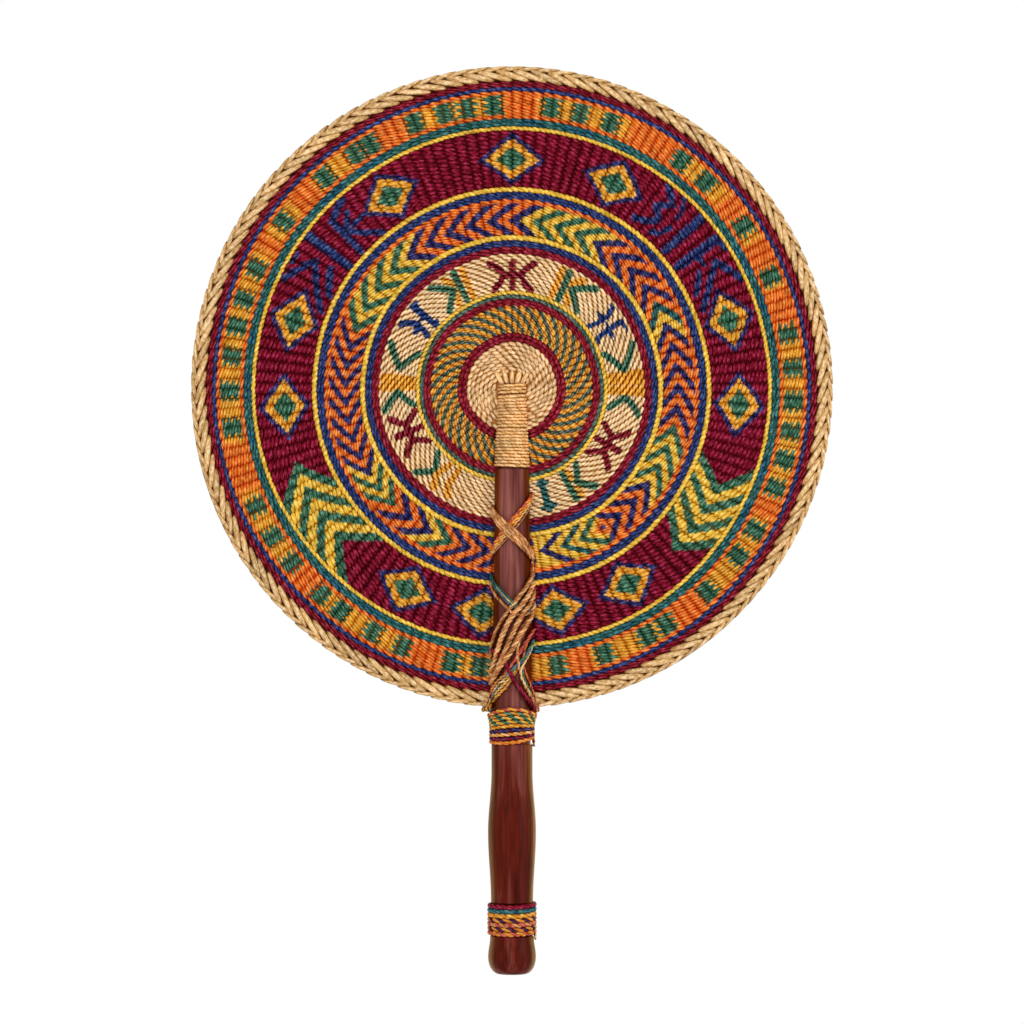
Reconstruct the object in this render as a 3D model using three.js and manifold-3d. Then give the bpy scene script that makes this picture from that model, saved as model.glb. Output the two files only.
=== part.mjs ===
import * as THREE from 'three';
import { mergeVertices } from 'three/addons/utils/BufferGeometryUtils.js';
import Module from 'manifold-3d';

// A round hand fan of twined straw on a split wooden handle, in millimetres.
// The disc stands in the XZ plane, its front faces -Y and the handle points down.
// The origin is on the handle's axis, in the middle of the grip.

const wasm = await Module();
wasm.setup();

// Woven disc: thickness, then the width of each band of weft from the centre outwards
const discThickness = 3.4;
const rimThickness = 4.2;
const rowGap = 0.3;
const hubRadius = 22.5;
const hubRedWidth = 4.5;
const spiralWidth = 13.5;
const innerRedWidth = 3.5;
const innerGreenWidth = 2;
const innerYellowWidth = 2;
const naturalWidth = 18.5;
const middleRedWidth = 3.5;
const middleBlueWidth = 3;
const middleYellowWidth = 3;
const chevronWidth = 17.75;
const outerBlueWidth = 3.5;
const outerYellowWidth = 2.75;
const maroonWidth = 28;
const borderYellowWidth = 2.25;
const borderTealWidth = 3.75;
const orangeWidth = 13.75;
const edgeBlueWidth = 2;
const edgeRedWidth = 2.75;
const rimWidth = 8.25;
const rimEdgeRound = 1.2;

// Warp stakes, which run from the centre to the rim inside every band of weft
const stakeStep = 45;
const stakeAddedX = 13.5;
const stakeAboveTip = 2.6;
const stakeWidth = 2.2;
const stakeThickness = 1.1;
const stakeEndInRim = 4;
const stakeClearance = 0.3;

// Handle: radii of the turned stick, and the lengths between them from the tip down
const tipAboveCentre = 2;
const tipRadius = 5.2;
const tipRound = 0.8;
const tipSeatEndRadius = 7.2;
const shoulderRadius = 9;
const shoulderLength = 1.2;
const rimStickRadius = 10.2;
const neckSeatRadius = 9.3;
const neckStickRadius = 10.25;
const neckStickLength = 12;
const gripRadius = 12;
const gripRise = 30;
const gripFall = 34.5;
const waistRadius = 10.5;
const buttSeatRadius = 9.5;
const buttFlareRadius = 12.25;
const buttFlareLength = 9;
const buttRoundLength = 8.5;
const buttFlatRadius = 6.5;
const seatStep = 0.8;
const slotClearance = 0.3;
const handleSides = 26;

// Bindings: thread radius, pitch and number of turns of each winding
const bindingClearance = 0.45;
const tipThreadRadius = 0.62;
const tipPitch = 1.7;
const tipTurns = 23.5;
const neckThreadRadius = 0.9;
const neckPitch = 2.3;
const neckTurns = 6.75;
const neckBelowRim = 0.6;
const buttThreadRadius = 1;
const buttPitch = 2.5;
const buttTurns = 6;
const turnSteps = 12;
const threadSides = 5;
const leastThreadGap = 0.4;

// Lacing: cord radius, and where each cord passes the disc, as a share of a band's width
const cordRadius = 1.25;
const cordClearance = 0.4;
const cordSides = 6;
const cordEndGap = 0.6;
const cordOverlapGap = 0.5;
const upperTanLeft = 0.54;
const upperTanRight = 0.45;
const orangeCordRight = 0.38;
const orangeCordLeft = 0.4;
const tealLeft = 0.79;
const tealRight = 0.54;
const upperCordRight = 0.79;
const upperCordLeft = 0.29;
const lowerCordRight = 0.09;
const lowerCordLeft = 0.65;
const rimCordStart = 0.73;
const rimCordEndX = 14;

const ringSegments = 44;
const innerRingSegments = 32;
const smallRingRadius = 50;

// Radii of the bands, added up from the centre
const bandWidths = {
  hub_red_band: hubRedWidth,
  gold_green_spiral_band: spiralWidth,
  inner_red_band: innerRedWidth,
  inner_green_band: innerGreenWidth,
  inner_yellow_band: innerYellowWidth,
  natural_motif_band: naturalWidth,
  middle_red_band: middleRedWidth,
  middle_blue_band: middleBlueWidth,
  middle_yellow_band: middleYellowWidth,
  chevron_band: chevronWidth,
  outer_blue_band: outerBlueWidth,
  outer_yellow_band: outerYellowWidth,
  maroon_motif_band: maroonWidth,
  border_yellow_band: borderYellowWidth,
  border_teal_band: borderTealWidth,
  orange_block_band: orangeWidth,
  edge_blue_band: edgeBlueWidth,
  edge_red_band: edgeRedWidth,
};
const bands = {};
let edgeRadius = hubRadius;
for (const [name, width] of Object.entries(bandWidths)) {
  bands[name] = { inner: edgeRadius, outer: edgeRadius + width };
  edgeRadius += width;
}
const rimInner = edgeRadius;
const discRadius = rimInner + rimWidth;

// Heights on the handle, measured from the disc's centre
const tipTop = tipAboveCentre;
const tipSeatEnd = tipTop - 2 * tipThreadRadius - tipPitch * tipTurns - bindingClearance;
const slotFloor = -(discRadius + slotClearance);
const neckSeatTop = slotFloor - neckBelowRim;
const neckSeatEnd = neckSeatTop - 2 * neckThreadRadius - neckPitch * neckTurns - bindingClearance;
const gripStart = neckSeatEnd - seatStep - neckStickLength;
const gripMiddle = gripStart - gripRise;
const gripEnd = gripMiddle - gripFall;
const buttSeatTop = gripEnd - seatStep;
const buttSeatEnd = buttSeatTop - 2 * buttThreadRadius - buttPitch * buttTurns - bindingClearance;
const buttFlare = buttSeatEnd - seatStep - buttFlareLength;
const buttEnd = buttFlare - buttRoundLength;
const discCentreHeight = -gripMiddle;

// Colours of the straw, the wood and the threads
const colours = {
  wood: 0x6b3524,
  natural: 0xd9b98a,
  stake: 0xe3cda4,
  red: 0x7d2233,
  green: 0x2f7a4a,
  yellow: 0xe2b93a,
  gold: 0xc9922e,
  blue: 0x2f4a8c,
  navy: 0x2b2f66,
  maroon: 0x8a2740,
  teal: 0x2c8f84,
  orange: 0xd9702a,
  tan: 0xcfa36b,
};
const bandColours = {
  hub_red_band: colours.red,
  gold_green_spiral_band: colours.gold,
  inner_red_band: colours.red,
  inner_green_band: colours.green,
  inner_yellow_band: colours.yellow,
  natural_motif_band: colours.natural,
  middle_red_band: colours.red,
  middle_blue_band: colours.blue,
  middle_yellow_band: colours.yellow,
  chevron_band: colours.navy,
  outer_blue_band: colours.blue,
  outer_yellow_band: colours.yellow,
  maroon_motif_band: colours.maroon,
  border_yellow_band: colours.yellow,
  border_teal_band: colours.teal,
  orange_block_band: colours.orange,
  edge_blue_band: colours.blue,
  edge_red_band: colours.red,
};

function straw(colour) {
  return new THREE.MeshStandardMaterial({ color: colour, roughness: 0.6, metalness: 0 });
}

function named(name, geometry, material) {
  const mesh = new THREE.Mesh(geometry, material);
  mesh.name = name;
  return mesh;
}

// Booleans: a geometry becomes a solid, and a solid becomes a geometry
function solidOf(geometry) {
  const bare = geometry.clone();
  bare.deleteAttribute('normal');
  bare.deleteAttribute('uv');
  const merged = mergeVertices(bare, 0.0001);
  return new wasm.Manifold(new wasm.Mesh({
    numProp: 3,
    vertProperties: new Float32Array(merged.attributes.position.array),
    triVerts: new Uint32Array(merged.index.array),
  }));
}

function geometryOf(solid) {
  const mesh = solid.getMesh();
  const geometry = new THREE.BufferGeometry();
  geometry.setAttribute('position', new THREE.BufferAttribute(new Float32Array(mesh.vertProperties), 3));
  geometry.setIndex(new THREE.BufferAttribute(new Uint32Array(mesh.triVerts), 1));
  geometry.computeVertexNormals();
  return geometry;
}

function box(width, depth, height, x, y, z) {
  const geometry = new THREE.BoxGeometry(width, depth, height);
  geometry.translate(x, y, z);
  return geometry;
}

// A flat round plate in the XZ plane, centred on the disc's axis
function plate(radius, thickness, segments) {
  return new THREE.CylinderGeometry(radius, radius, thickness, segments);
}

// Handle: the turned profile, and its radius at a height above the rim
const upperStickStart = tipSeatEnd - shoulderLength;

function stickRadiusAt(z) {
  const share = (upperStickStart - z) / (upperStickStart - slotFloor);
  return THREE.MathUtils.lerp(shoulderRadius, rimStickRadius, THREE.MathUtils.clamp(share, 0, 1));
}

function tipSeatRadiusAt(z) {
  const share = (tipTop - z) / (tipTop - tipSeatEnd);
  return THREE.MathUtils.lerp(tipRadius, tipSeatEndRadius, THREE.MathUtils.clamp(share, 0, 1));
}

function makeHandle() {
  const profile = [
    new THREE.Vector2(0, buttEnd),
    new THREE.Vector2(buttFlatRadius, buttEnd),
    new THREE.Vector2(buttFlareRadius * 0.82, buttEnd + buttRoundLength * 0.17),
    new THREE.Vector2(buttFlareRadius * 0.96, buttEnd + buttRoundLength * 0.5),
    new THREE.Vector2(buttFlareRadius, buttFlare),
    new THREE.Vector2(THREE.MathUtils.lerp(buttSeatRadius, buttFlareRadius, 0.7), buttFlare + buttFlareLength * 0.5),
    new THREE.Vector2(buttSeatRadius + seatStep, buttSeatEnd - seatStep),
    new THREE.Vector2(buttSeatRadius, buttSeatEnd),
    new THREE.Vector2(buttSeatRadius, buttSeatTop),
    new THREE.Vector2(waistRadius, gripEnd),
    new THREE.Vector2(THREE.MathUtils.lerp(waistRadius, gripRadius, 0.68), gripMiddle - gripFall * 0.46),
    new THREE.Vector2(gripRadius, gripMiddle - gripFall * 0.08),
    new THREE.Vector2(THREE.MathUtils.lerp(neckStickRadius, gripRadius, 0.72), gripMiddle + gripRise * 0.4),
    new THREE.Vector2(neckStickRadius, gripStart),
    new THREE.Vector2(neckStickRadius, neckSeatEnd - seatStep),
    new THREE.Vector2(neckSeatRadius, neckSeatEnd),
    new THREE.Vector2(neckSeatRadius, neckSeatTop),
    new THREE.Vector2(rimStickRadius, neckSeatTop + seatStep),
    new THREE.Vector2(shoulderRadius, upperStickStart),
    new THREE.Vector2(tipSeatEndRadius, tipSeatEnd),
    new THREE.Vector2(tipRadius, tipTop - tipRound),
    new THREE.Vector2(tipRadius - tipRound, tipTop),
    new THREE.Vector2(0, tipTop),
  ];
  const turned = new THREE.LatheGeometry(profile, handleSides);
  turned.rotateX(Math.PI / 2);
  const slotWidth = rimThickness + 2 * slotClearance;
  const slotLength = tipTop - slotFloor + 1;
  const slot = box(4 * rimStickRadius, slotWidth, slotLength, 0, 0, slotFloor + slotLength / 2);
  return geometryOf(solidOf(turned).subtract(solidOf(slot)));
}

// The opening in the hub through which the tip binding's turns pass, beside the stick
const tipBindingReach = tipSeatEndRadius + bindingClearance + 2 * tipThreadRadius;
const notchRadius = Math.hypot(tipBindingReach, tipSeatEnd) + slotClearance;
const notchTop = tipTop + slotClearance;
const notchHalfWidth = tipBindingReach + 2 * slotClearance;
const tongueHalfWidth = tipRadius - slotClearance;

function notchSolid() {
  const height = notchRadius + notchTop + 1;
  const tall = box(2 * notchHalfWidth, 2 * discThickness, height, 0, 0, notchTop - height / 2);
  return solidOf(tall).intersect(solidOf(plate(notchRadius, 3 * discThickness, innerRingSegments)));
}

// Warp stakes: bars that cross just above the handle's tip and end inside the rim.
// The two slanted lower ones are added stakes, which start beside the binding.
const stakeCrossing = tipTop + stakeAboveTip;
const stakeReach = rimInner + stakeEndInRim;

function stakeSolid(rootX, rootZ, degrees, clearance) {
  const angle = THREE.MathUtils.degToRad(degrees);
  const along = new THREE.Vector2(Math.cos(angle), Math.sin(angle));
  const root = new THREE.Vector2(rootX, rootZ);
  const inward = root.dot(along);
  const length = Math.sqrt(inward ** 2 + stakeReach ** 2 - root.lengthSq()) - inward + clearance;
  const bar = box(length, stakeThickness + 2 * clearance, stakeWidth + 2 * clearance, length / 2, 0, 0);
  bar.rotateY(-angle);
  bar.translate(root.x, 0, root.y);
  return solidOf(bar);
}

function stakesSolid(clearance) {
  const upright = stakeSolid(0, -stakeReach - clearance, 90, clearance);
  const acrossX = Math.sqrt(stakeReach ** 2 - stakeCrossing ** 2) + clearance;
  let star = upright.add(stakeSolid(-acrossX, stakeCrossing, 0, clearance));
  for (const side of [1, -1]) {
    const upper = 90 - side * stakeStep;
    const lower = -90 + side * stakeStep;
    star = star.add(stakeSolid(0, stakeCrossing, upper, clearance));
    star = star.add(stakeSolid(side * stakeAddedX, stakeCrossing, lower, clearance));
  }
  return star;
}

// Lacing: half a loop over the stick's front, from the right side to the left
function cordReach(z) {
  return stickRadiusAt(z) + cordClearance + cordRadius;
}

const overCord = 2 * cordRadius + cordOverlapGap;

function lift(angle, over) {
  if (!over) {
    return 0;
  }
  const [rise, start, end, fall] = over;
  const up = THREE.MathUtils.smoothstep(angle, rise, start);
  const down = THREE.MathUtils.smoothstep(angle, end, fall);
  return overCord * (up - down);
}

const cordAngles = [20, 40, 60, 80, 100, 120, 140, 160];

function halfLoop(rightZ, leftZ, over) {
  const right = cordReach(rightZ);
  const left = cordReach(leftZ);
  const points = [
    new THREE.Vector3(right, 0, rightZ),
    new THREE.Vector3(right, -discThickness / 2, rightZ),
  ];
  for (const angle of cordAngles) {
    const radians = THREE.MathUtils.degToRad(angle);
    const z = THREE.MathUtils.lerp(rightZ, leftZ, (1 - Math.cos(radians)) / 2);
    const reach = cordReach(z) + lift(angle, over);
    points.push(new THREE.Vector3(reach * Math.cos(radians), -reach * Math.sin(radians), z));
  }
  points.push(new THREE.Vector3(-left, -discThickness / 2, leftZ));
  points.push(new THREE.Vector3(-left, 0, leftZ));
  return points;
}

// A half loop that leaves the stick and goes round the rim's lower edge on the left
function halfLoopToRim(rightZ, over) {
  const reach = cordReach(rightZ);
  const layY = rimThickness / 2 + cordClearance + cordRadius;
  const rimZ = -Math.sqrt(discRadius ** 2 - rimCordEndX ** 2);
  const slope = (rimZ - rightZ) / (reach + rimCordEndX);
  const points = [
    new THREE.Vector3(reach, 0, rightZ),
    new THREE.Vector3(reach, -discThickness / 2, rightZ),
  ];
  for (const angle of cordAngles) {
    const radians = THREE.MathUtils.degToRad(angle);
    const z = rightZ + slope * reach * (1 - Math.cos(radians));
    const around = cordReach(z) + lift(angle, over);
    const y = -around * Math.sin(radians);
    const leavesStick = angle > 90 && y > -layY;
    points.push(new THREE.Vector3(around * Math.cos(radians), leavesStick ? -layY : y, z));
  }
  const edgeReach = cordRadius + cordClearance;
  points.push(new THREE.Vector3(-rimCordEndX, -layY, rimZ));
  points.push(new THREE.Vector3(-rimCordEndX, -layY * 0.75, rimZ - edgeReach * 0.75));
  points.push(new THREE.Vector3(-rimCordEndX, 0, rimZ - edgeReach));
  return points;
}

// The whole loop: the half over the front, then its mirror image behind the stick
function wholeLoop(front) {
  const back = front.slice(0, -1).reverse().map((p) => new THREE.Vector3(p.x, -p.y, p.z));
  const points = [...front, ...back];
  points[0].y = -cordEndGap / 2;
  points[points.length - 1].y = cordEndGap / 2;
  return points;
}

// A closed tube through points, its section kept level with the direction away from the axis
function tube(points, radius, sides) {
  const positions = [];
  const indices = [];
  points.forEach((point, i) => {
    const before = points[Math.max(i - 1, 0)];
    const after = points[Math.min(i + 1, points.length - 1)];
    const along = after.clone().sub(before).normalize();
    const away = new THREE.Vector3(point.x, point.y, 0).normalize();
    const side = away.clone().addScaledVector(along, -away.dot(along)).normalize();
    const up = along.clone().cross(side);
    for (let k = 0; k < sides; k += 1) {
      const turn = (2 * Math.PI * k) / sides;
      const corner = point.clone()
        .addScaledVector(side, radius * Math.cos(turn))
        .addScaledVector(up, radius * Math.sin(turn));
      positions.push(corner.x, corner.y, corner.z);
    }
  });
  for (let i = 0; i < points.length - 1; i += 1) {
    for (let k = 0; k < sides; k += 1) {
      const next = (k + 1) % sides;
      const a = i * sides + k;
      const b = i * sides + next;
      indices.push(a, b, b + sides, a, b + sides, a + sides);
    }
  }
  const last = (points.length - 1) * sides;
  for (let k = 1; k < sides - 1; k += 1) {
    indices.push(0, k + 1, k);
    indices.push(last, last + k, last + k + 1);
  }
  const geometry = new THREE.BufferGeometry();
  geometry.setAttribute('position', new THREE.Float32BufferAttribute(positions, 3));
  geometry.setIndex(indices);
  geometry.computeVertexNormals();
  return geometry;
}

function cord(front) {
  return tube(wholeLoop(front), cordRadius, cordSides);
}

// A winding round the handle: a helix on a seat, whose ends run straight for one thread
function windingPoints(top, turns, pitch, radius, seatRadiusAt, startAngle) {
  const points = [];
  const count = Math.round(turns * turnSteps);
  for (let i = 0; i <= count; i += 1) {
    const angle = startAngle + (2 * Math.PI * i) / turnSteps;
    const z = top - radius - (pitch * i) / turnSteps;
    const reach = seatRadiusAt(z) + bindingClearance + radius;
    points.push(new THREE.Vector3(reach * Math.cos(angle), -reach * Math.sin(angle), z));
  }
  const straight = (from, next) => from.clone().addScaledVector(from.clone().sub(next).normalize(), 2 * radius);
  points.unshift(straight(points[0], points[1]));
  points.push(straight(points[points.length - 1], points[points.length - 2]));
  return points;
}

function leastGap(name, points, radius) {
  let least = Infinity;
  for (let i = 0; i < points.length; i += 1) {
    for (let j = i + Math.round(turnSteps / 2); j < points.length; j += 1) {
      least = Math.min(least, points[i].distanceTo(points[j]) - 2 * radius);
    }
  }
  console.log(`${name}: least gap of the thread to itself ${least.toFixed(2)} mm`);
  if (least <= leastThreadGap) {
    throw new Error(`${name}: turns lie too close`);
  }
}

function winding(name, points, radius, colour) {
  leastGap(name, points, radius);
  return named(name, tube(points, radius, threadSides), straw(colour));
}

// Where a cord passes the disc, as a height below its centre
function heightIn(bandName, share) {
  const band = bands[bandName];
  return -THREE.MathUtils.lerp(band.inner, band.outer, share);
}

const upperTan = halfLoop(
  heightIn('chevron_band', upperTanRight),
  heightIn('natural_motif_band', upperTanLeft),
  [40, 68, 112, 140],
);
const orangeCord = halfLoop(
  heightIn('natural_motif_band', orangeCordRight),
  heightIn('chevron_band', orangeCordLeft),
);
const tealRibbon = halfLoop(
  heightIn('maroon_motif_band', tealRight),
  heightIn('chevron_band', tealLeft),
  [8, 40, 88, 120],
);
const upperCord = halfLoop(
  heightIn('chevron_band', upperCordRight),
  heightIn('orange_block_band', upperCordLeft),
  [86, 110, 138, 172],
);
const lowerCord = halfLoop(
  heightIn('maroon_motif_band', lowerCordRight),
  heightIn('orange_block_band', lowerCordLeft),
  [72, 98, 128, 160],
);
const rimCordZ = heightIn('maroon_motif_band', rimCordStart);
const leftRimCord = halfLoopToRim(rimCordZ, [42, 72, 108, 138]);
const rightRimCord = halfLoopToRim(rimCordZ).map((p) => new THREE.Vector3(-p.x, p.y, p.z));

const lacing = [
  ['lacing_upper_tan', upperTan, colours.tan],
  ['lacing_upper_orange', orangeCord, colours.orange],
  ['lacing_teal_ribbon', tealRibbon, colours.teal],
  ['lacing_middle_cord', upperCord, colours.tan],
  ['lacing_lower_cord', lowerCord, colours.natural],
  ['lacing_left_rim', leftRimCord, colours.green],
  ['lacing_right_rim', rightRimCord, colours.maroon],
];

// Holes in the bands, one where each cord's loop crosses the disc's middle plane
function cordHoles() {
  let holes = null;
  for (const [, front] of lacing) {
    for (const end of [front[0], front[front.length - 1]]) {
      if (Math.hypot(end.x, end.z) < rimInner) {
        const hole = plate(cordRadius + cordClearance, 3 * discThickness, 8);
        hole.translate(end.x, 0, end.z);
        holes = holes ? holes.add(solidOf(hole)) : solidOf(hole);
      }
    }
  }
  return holes;
}

function makeRing(inner, outer, thickness, edge) {
  const segments = outer < smallRingRadius ? innerRingSegments : ringSegments;
  const half = thickness / 2;
  const profile = [
    new THREE.Vector2(inner, -half),
    new THREE.Vector2(outer - edge, -half),
    new THREE.Vector2(outer, -half + edge),
    new THREE.Vector2(outer, half - edge),
    new THREE.Vector2(outer - edge, half),
    new THREE.Vector2(inner, half),
    new THREE.Vector2(inner, -half),
  ];
  if (edge === 0) {
    profile.splice(4, 1);
    profile.splice(1, 1);
  }
  return solidOf(new THREE.LatheGeometry(profile, segments));
}

function makeHub(notch, stakes) {
  const body = solidOf(plate(hubRadius - rowGap / 2, discThickness, innerRingSegments)).subtract(notch);
  const length = notchRadius - slotClearance + notchTop + 1;
  const strip = box(2 * tongueHalfWidth, discThickness, length, 0, 0, notchTop + 1 - length / 2);
  const round = plate(notchRadius - slotClearance, 2 * discThickness, innerRingSegments);
  const tongue = solidOf(strip).intersect(solidOf(round));
  return body.add(tongue).subtract(stakes);
}

const fan = new THREE.Group();
const disc = new THREE.Group();
const fastening = new THREE.Group();
fan.add(disc, fastening);

const wood = new THREE.MeshStandardMaterial({ color: colours.wood, roughness: 0.35, metalness: 0 });
fastening.add(named('handle', makeHandle(), wood));

const notch = notchSolid();
const stakeHoles = stakesSolid(stakeClearance);
const holes = cordHoles();

disc.add(named('warp_stakes', geometryOf(stakesSolid(0)), straw(colours.stake)));
disc.add(named('hub_weave', geometryOf(makeHub(notch, stakeHoles)), straw(colours.natural)));
for (const [name, band] of Object.entries(bands)) {
  const ring = makeRing(band.inner + rowGap / 2, band.outer - rowGap / 2, discThickness, 0);
  const woven = ring.subtract(stakeHoles).subtract(notch).subtract(holes);
  disc.add(named(name, geometryOf(woven), straw(bandColours[name])));
}
const rim = makeRing(rimInner + rowGap / 2, discRadius, rimThickness, rimEdgeRound);
disc.add(named('rim_braid', geometryOf(rim.subtract(stakeHoles)), straw(colours.natural)));

for (const [name, front, colour] of lacing) {
  fastening.add(named(name, cord(front), straw(colour)));
}

const tipPoints = windingPoints(tipTop, tipTurns, tipPitch, tipThreadRadius, tipSeatRadiusAt, 0);
const neckPoints = windingPoints(
  neckSeatTop, neckTurns, neckPitch, neckThreadRadius, () => neckSeatRadius, Math.PI / 2,
);
const buttPoints = windingPoints(
  buttSeatTop, buttTurns, buttPitch, buttThreadRadius, () => buttSeatRadius, Math.PI / 2,
);
fastening.add(winding('tip_binding', tipPoints, tipThreadRadius, colours.natural));
fastening.add(winding('neck_binding', neckPoints, neckThreadRadius, colours.gold));
fastening.add(winding('butt_binding', buttPoints, buttThreadRadius, colours.gold));

fan.children.forEach((group) => group.position.set(0, 0, discCentreHeight));

export default fan;
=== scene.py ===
import math
import bpy
import numpy as np
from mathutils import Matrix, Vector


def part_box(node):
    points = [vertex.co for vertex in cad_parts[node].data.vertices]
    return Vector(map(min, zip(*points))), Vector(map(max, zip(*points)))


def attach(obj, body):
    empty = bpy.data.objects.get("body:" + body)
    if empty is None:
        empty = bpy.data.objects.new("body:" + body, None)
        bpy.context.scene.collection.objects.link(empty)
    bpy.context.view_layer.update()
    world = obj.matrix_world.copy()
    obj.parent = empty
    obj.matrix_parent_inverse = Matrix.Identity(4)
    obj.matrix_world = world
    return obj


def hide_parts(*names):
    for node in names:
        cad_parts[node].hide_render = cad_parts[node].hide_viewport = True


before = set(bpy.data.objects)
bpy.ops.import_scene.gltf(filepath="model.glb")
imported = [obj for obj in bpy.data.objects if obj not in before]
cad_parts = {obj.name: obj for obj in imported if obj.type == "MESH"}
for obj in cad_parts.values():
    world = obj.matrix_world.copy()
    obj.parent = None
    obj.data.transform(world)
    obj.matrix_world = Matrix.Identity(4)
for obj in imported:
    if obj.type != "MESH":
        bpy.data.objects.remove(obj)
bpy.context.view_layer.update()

mm = 0.001

# Camera
# It looks square on at the front of the disc, from far enough back for the disc to look flat.
# A pixel of the photograph is half a millimetre of the fan.
pixel = 0.5 * mm
picture_width = 1024 * pixel
picture_middle_height = 159.87 * mm
camera_distance = 2.5
sensor_width = 36

lens = bpy.data.cameras.new("camera")
lens.sensor_width = sensor_width
lens.lens = sensor_width * camera_distance / picture_width
camera = bpy.data.objects.new("camera", lens)
camera.location = (0, -camera_distance, picture_middle_height)
camera.rotation_euler = (math.pi / 2, 0, 0)
bpy.context.scene.collection.objects.link(camera)
bpy.context.scene.camera = camera
bpy.context.scene.view_settings.view_transform = "Standard"

# Warp straws
# Flat natural straws that run from the middle of the disc to its rim, with the weft twined round them.
# More are laid in as the disc widens. Their heads fan out above the binding of the handle's tip.
rim_low, rim_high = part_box("rim_braid")
disc_centre = np.array((rim_low + rim_high) / 2)
disc_radius = rim_high.x
disc_centre[0] = 0
tip_low, tip_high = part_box("tip_binding")
tip_reach = tip_high.x
warp_width = 1 * mm
warp_thickness = 0.7 * mm
# The warps are painted darker, as the shade they lie in inside the weave.
warp_painted_shade = 0.3
warp_tones = (0.85, 1.05)
# How many straws are laid in together, how far out they start, and where the first of them lies.
warp_lots = ((30, 4.5 * mm, 0), (30, 22 * mm, 6), (60, 50 * mm, 3))
warp_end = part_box("edge_red_band")[1].x + 3 * mm
beside_clearance = 1 * mm
beside_farthest = 43 * mm
upright_from = 0.2
head_count = 5
head_tones = (0.85, 1.1)
head_lengths = (8, 9.5)
head_widths = (2.2, 2.6)
head_spread = 4.9 * mm
head_lift = 1.35 * mm
head_lean = 30
head_thickness = 1.5 * mm
head_rise = 0.5 * mm
head_sunk = 1.6 * mm


def srgb(red, green, blue):
    """A colour given as 0 to 255 in a picture, as the linear values that Blender uses."""
    share = np.array((red, green, blue)) / 255
    return np.where(share <= 0.04045, share / 12.92, ((share + 0.055) / 1.055) ** 2.4)


dyes = {"natural": srgb(238, 200, 148), "tip_twine": srgb(255, 202, 136)}


def fill_inputs(tree, node, inputs):
    """Sets each input of a node to a value, or links it to another node's output."""
    for name, value in dict(inputs).items():
        if isinstance(value, bpy.types.NodeSocket):
            tree.links.new(value, node.inputs[name])
        else:
            node.inputs[name].default_value = value


def new_node(tree, kind, inputs=(), **settings):
    """A node with its settings made and its inputs filled."""
    node = tree.nodes.new(kind)
    for name, value in settings.items():
        setattr(node, name, value)
    fill_inputs(tree, node, inputs)
    return node


def mapped(tree, value, low, high, start, end, ease="LINEAR"):
    """A value between low and high taken over to the range from start to end."""
    ends = {"Value": value, "From Min": low, "From Max": high, "To Min": start, "To Max": end}
    return new_node(tree, "ShaderNodeMapRange", ends, interpolation_type=ease).outputs["Result"]


def scaled(tree, colour, share):
    """A colour made lighter or darker by a share."""
    inputs = {0: colour, "Scale": share}
    return new_node(tree, "ShaderNodeVectorMath", inputs, operation="SCALE").outputs["Vector"]


def straw_fibre_shade_group():
    """What dyed straw looks like: its dye, streaked by lengthwise fibres, with painted shade where it is
    sunken and painted highlights on its crests.
    """
    group = bpy.data.node_groups.new("Straw fibre and painted shade", "ShaderNodeTree")
    group.interface.new_socket("Colour", in_out="OUTPUT", socket_type="NodeSocketColor")
    group.interface.new_socket("Roughness", in_out="OUTPUT", socket_type="NodeSocketFloat")
    group.interface.new_socket("Normal", in_out="OUTPUT", socket_type="NodeSocketVector")
    dye = new_node(group, "ShaderNodeAttribute", attribute_name="dye").outputs
    grain = new_node(group, "ShaderNodeAttribute", attribute_name="grain").outputs
    stretch = {0: grain["Vector"], 1: (1.5, 8, 60)}
    stretched = new_node(group, "ShaderNodeVectorMath", stretch, operation="MULTIPLY").outputs["Vector"]
    noise = {"Vector": stretched, "Scale": 1, "Detail": 2}
    fibres = new_node(group, "ShaderNodeTexNoise", noise).outputs["Fac"]
    # Painted shade and highlight: the dye's alpha, raised by the fibre streaks, deepens and darkens the dye
    # where it is low and lightens it where it is high.
    shade_heights = {0: dye["Alpha"], 1: mapped(group, fibres, 0.3, 0.7, -0.46, 0.56)}
    height = new_node(group, "ShaderNodeMath", shade_heights, operation="ADD").outputs["Value"]
    shade_gamma = mapped(group, height, 0, 1.35, 1.6, 0.64)
    shaded_dye = new_node(group, "ShaderNodeGamma", {"Color": dye["Color"], "Gamma": shade_gamma}).outputs["Color"]
    ribs = new_node(group, "ShaderNodeBump", {"Strength": 0.35, "Distance": 0.2 * mm, "Height": fibres})
    new_node(group, "NodeGroupOutput", {
        "Colour": scaled(group, shaded_dye, mapped(group, height, 0, 1.35, 0.5, 1.15)),
        "Roughness": mapped(group, fibres, 0, 1, 0.55, 0.35),
        "Normal": ribs.outputs["Normal"],
    })
    return group


straw_fibre_shade = straw_fibre_shade_group()


def new_material(name):
    """An empty material and its node tree."""
    material = bpy.data.materials.new(name)
    material.use_nodes = True
    return material, material.node_tree


def straw_material(name, shine):
    """A straw or thread finish: shine is how much its skin reflects."""
    material, tree = new_material(name)
    fibre = new_node(tree, "ShaderNodeGroup", node_tree=straw_fibre_shade).outputs
    fill_inputs(tree, tree.nodes["Principled BSDF"], {
        "Specular IOR Level": shine,
        "Base Color": fibre["Colour"],
        "Roughness": fibre["Roughness"],
        "Normal": fibre["Normal"],
    })
    return material


natural_straw = straw_material("natural_straw", 0.05)


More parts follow.
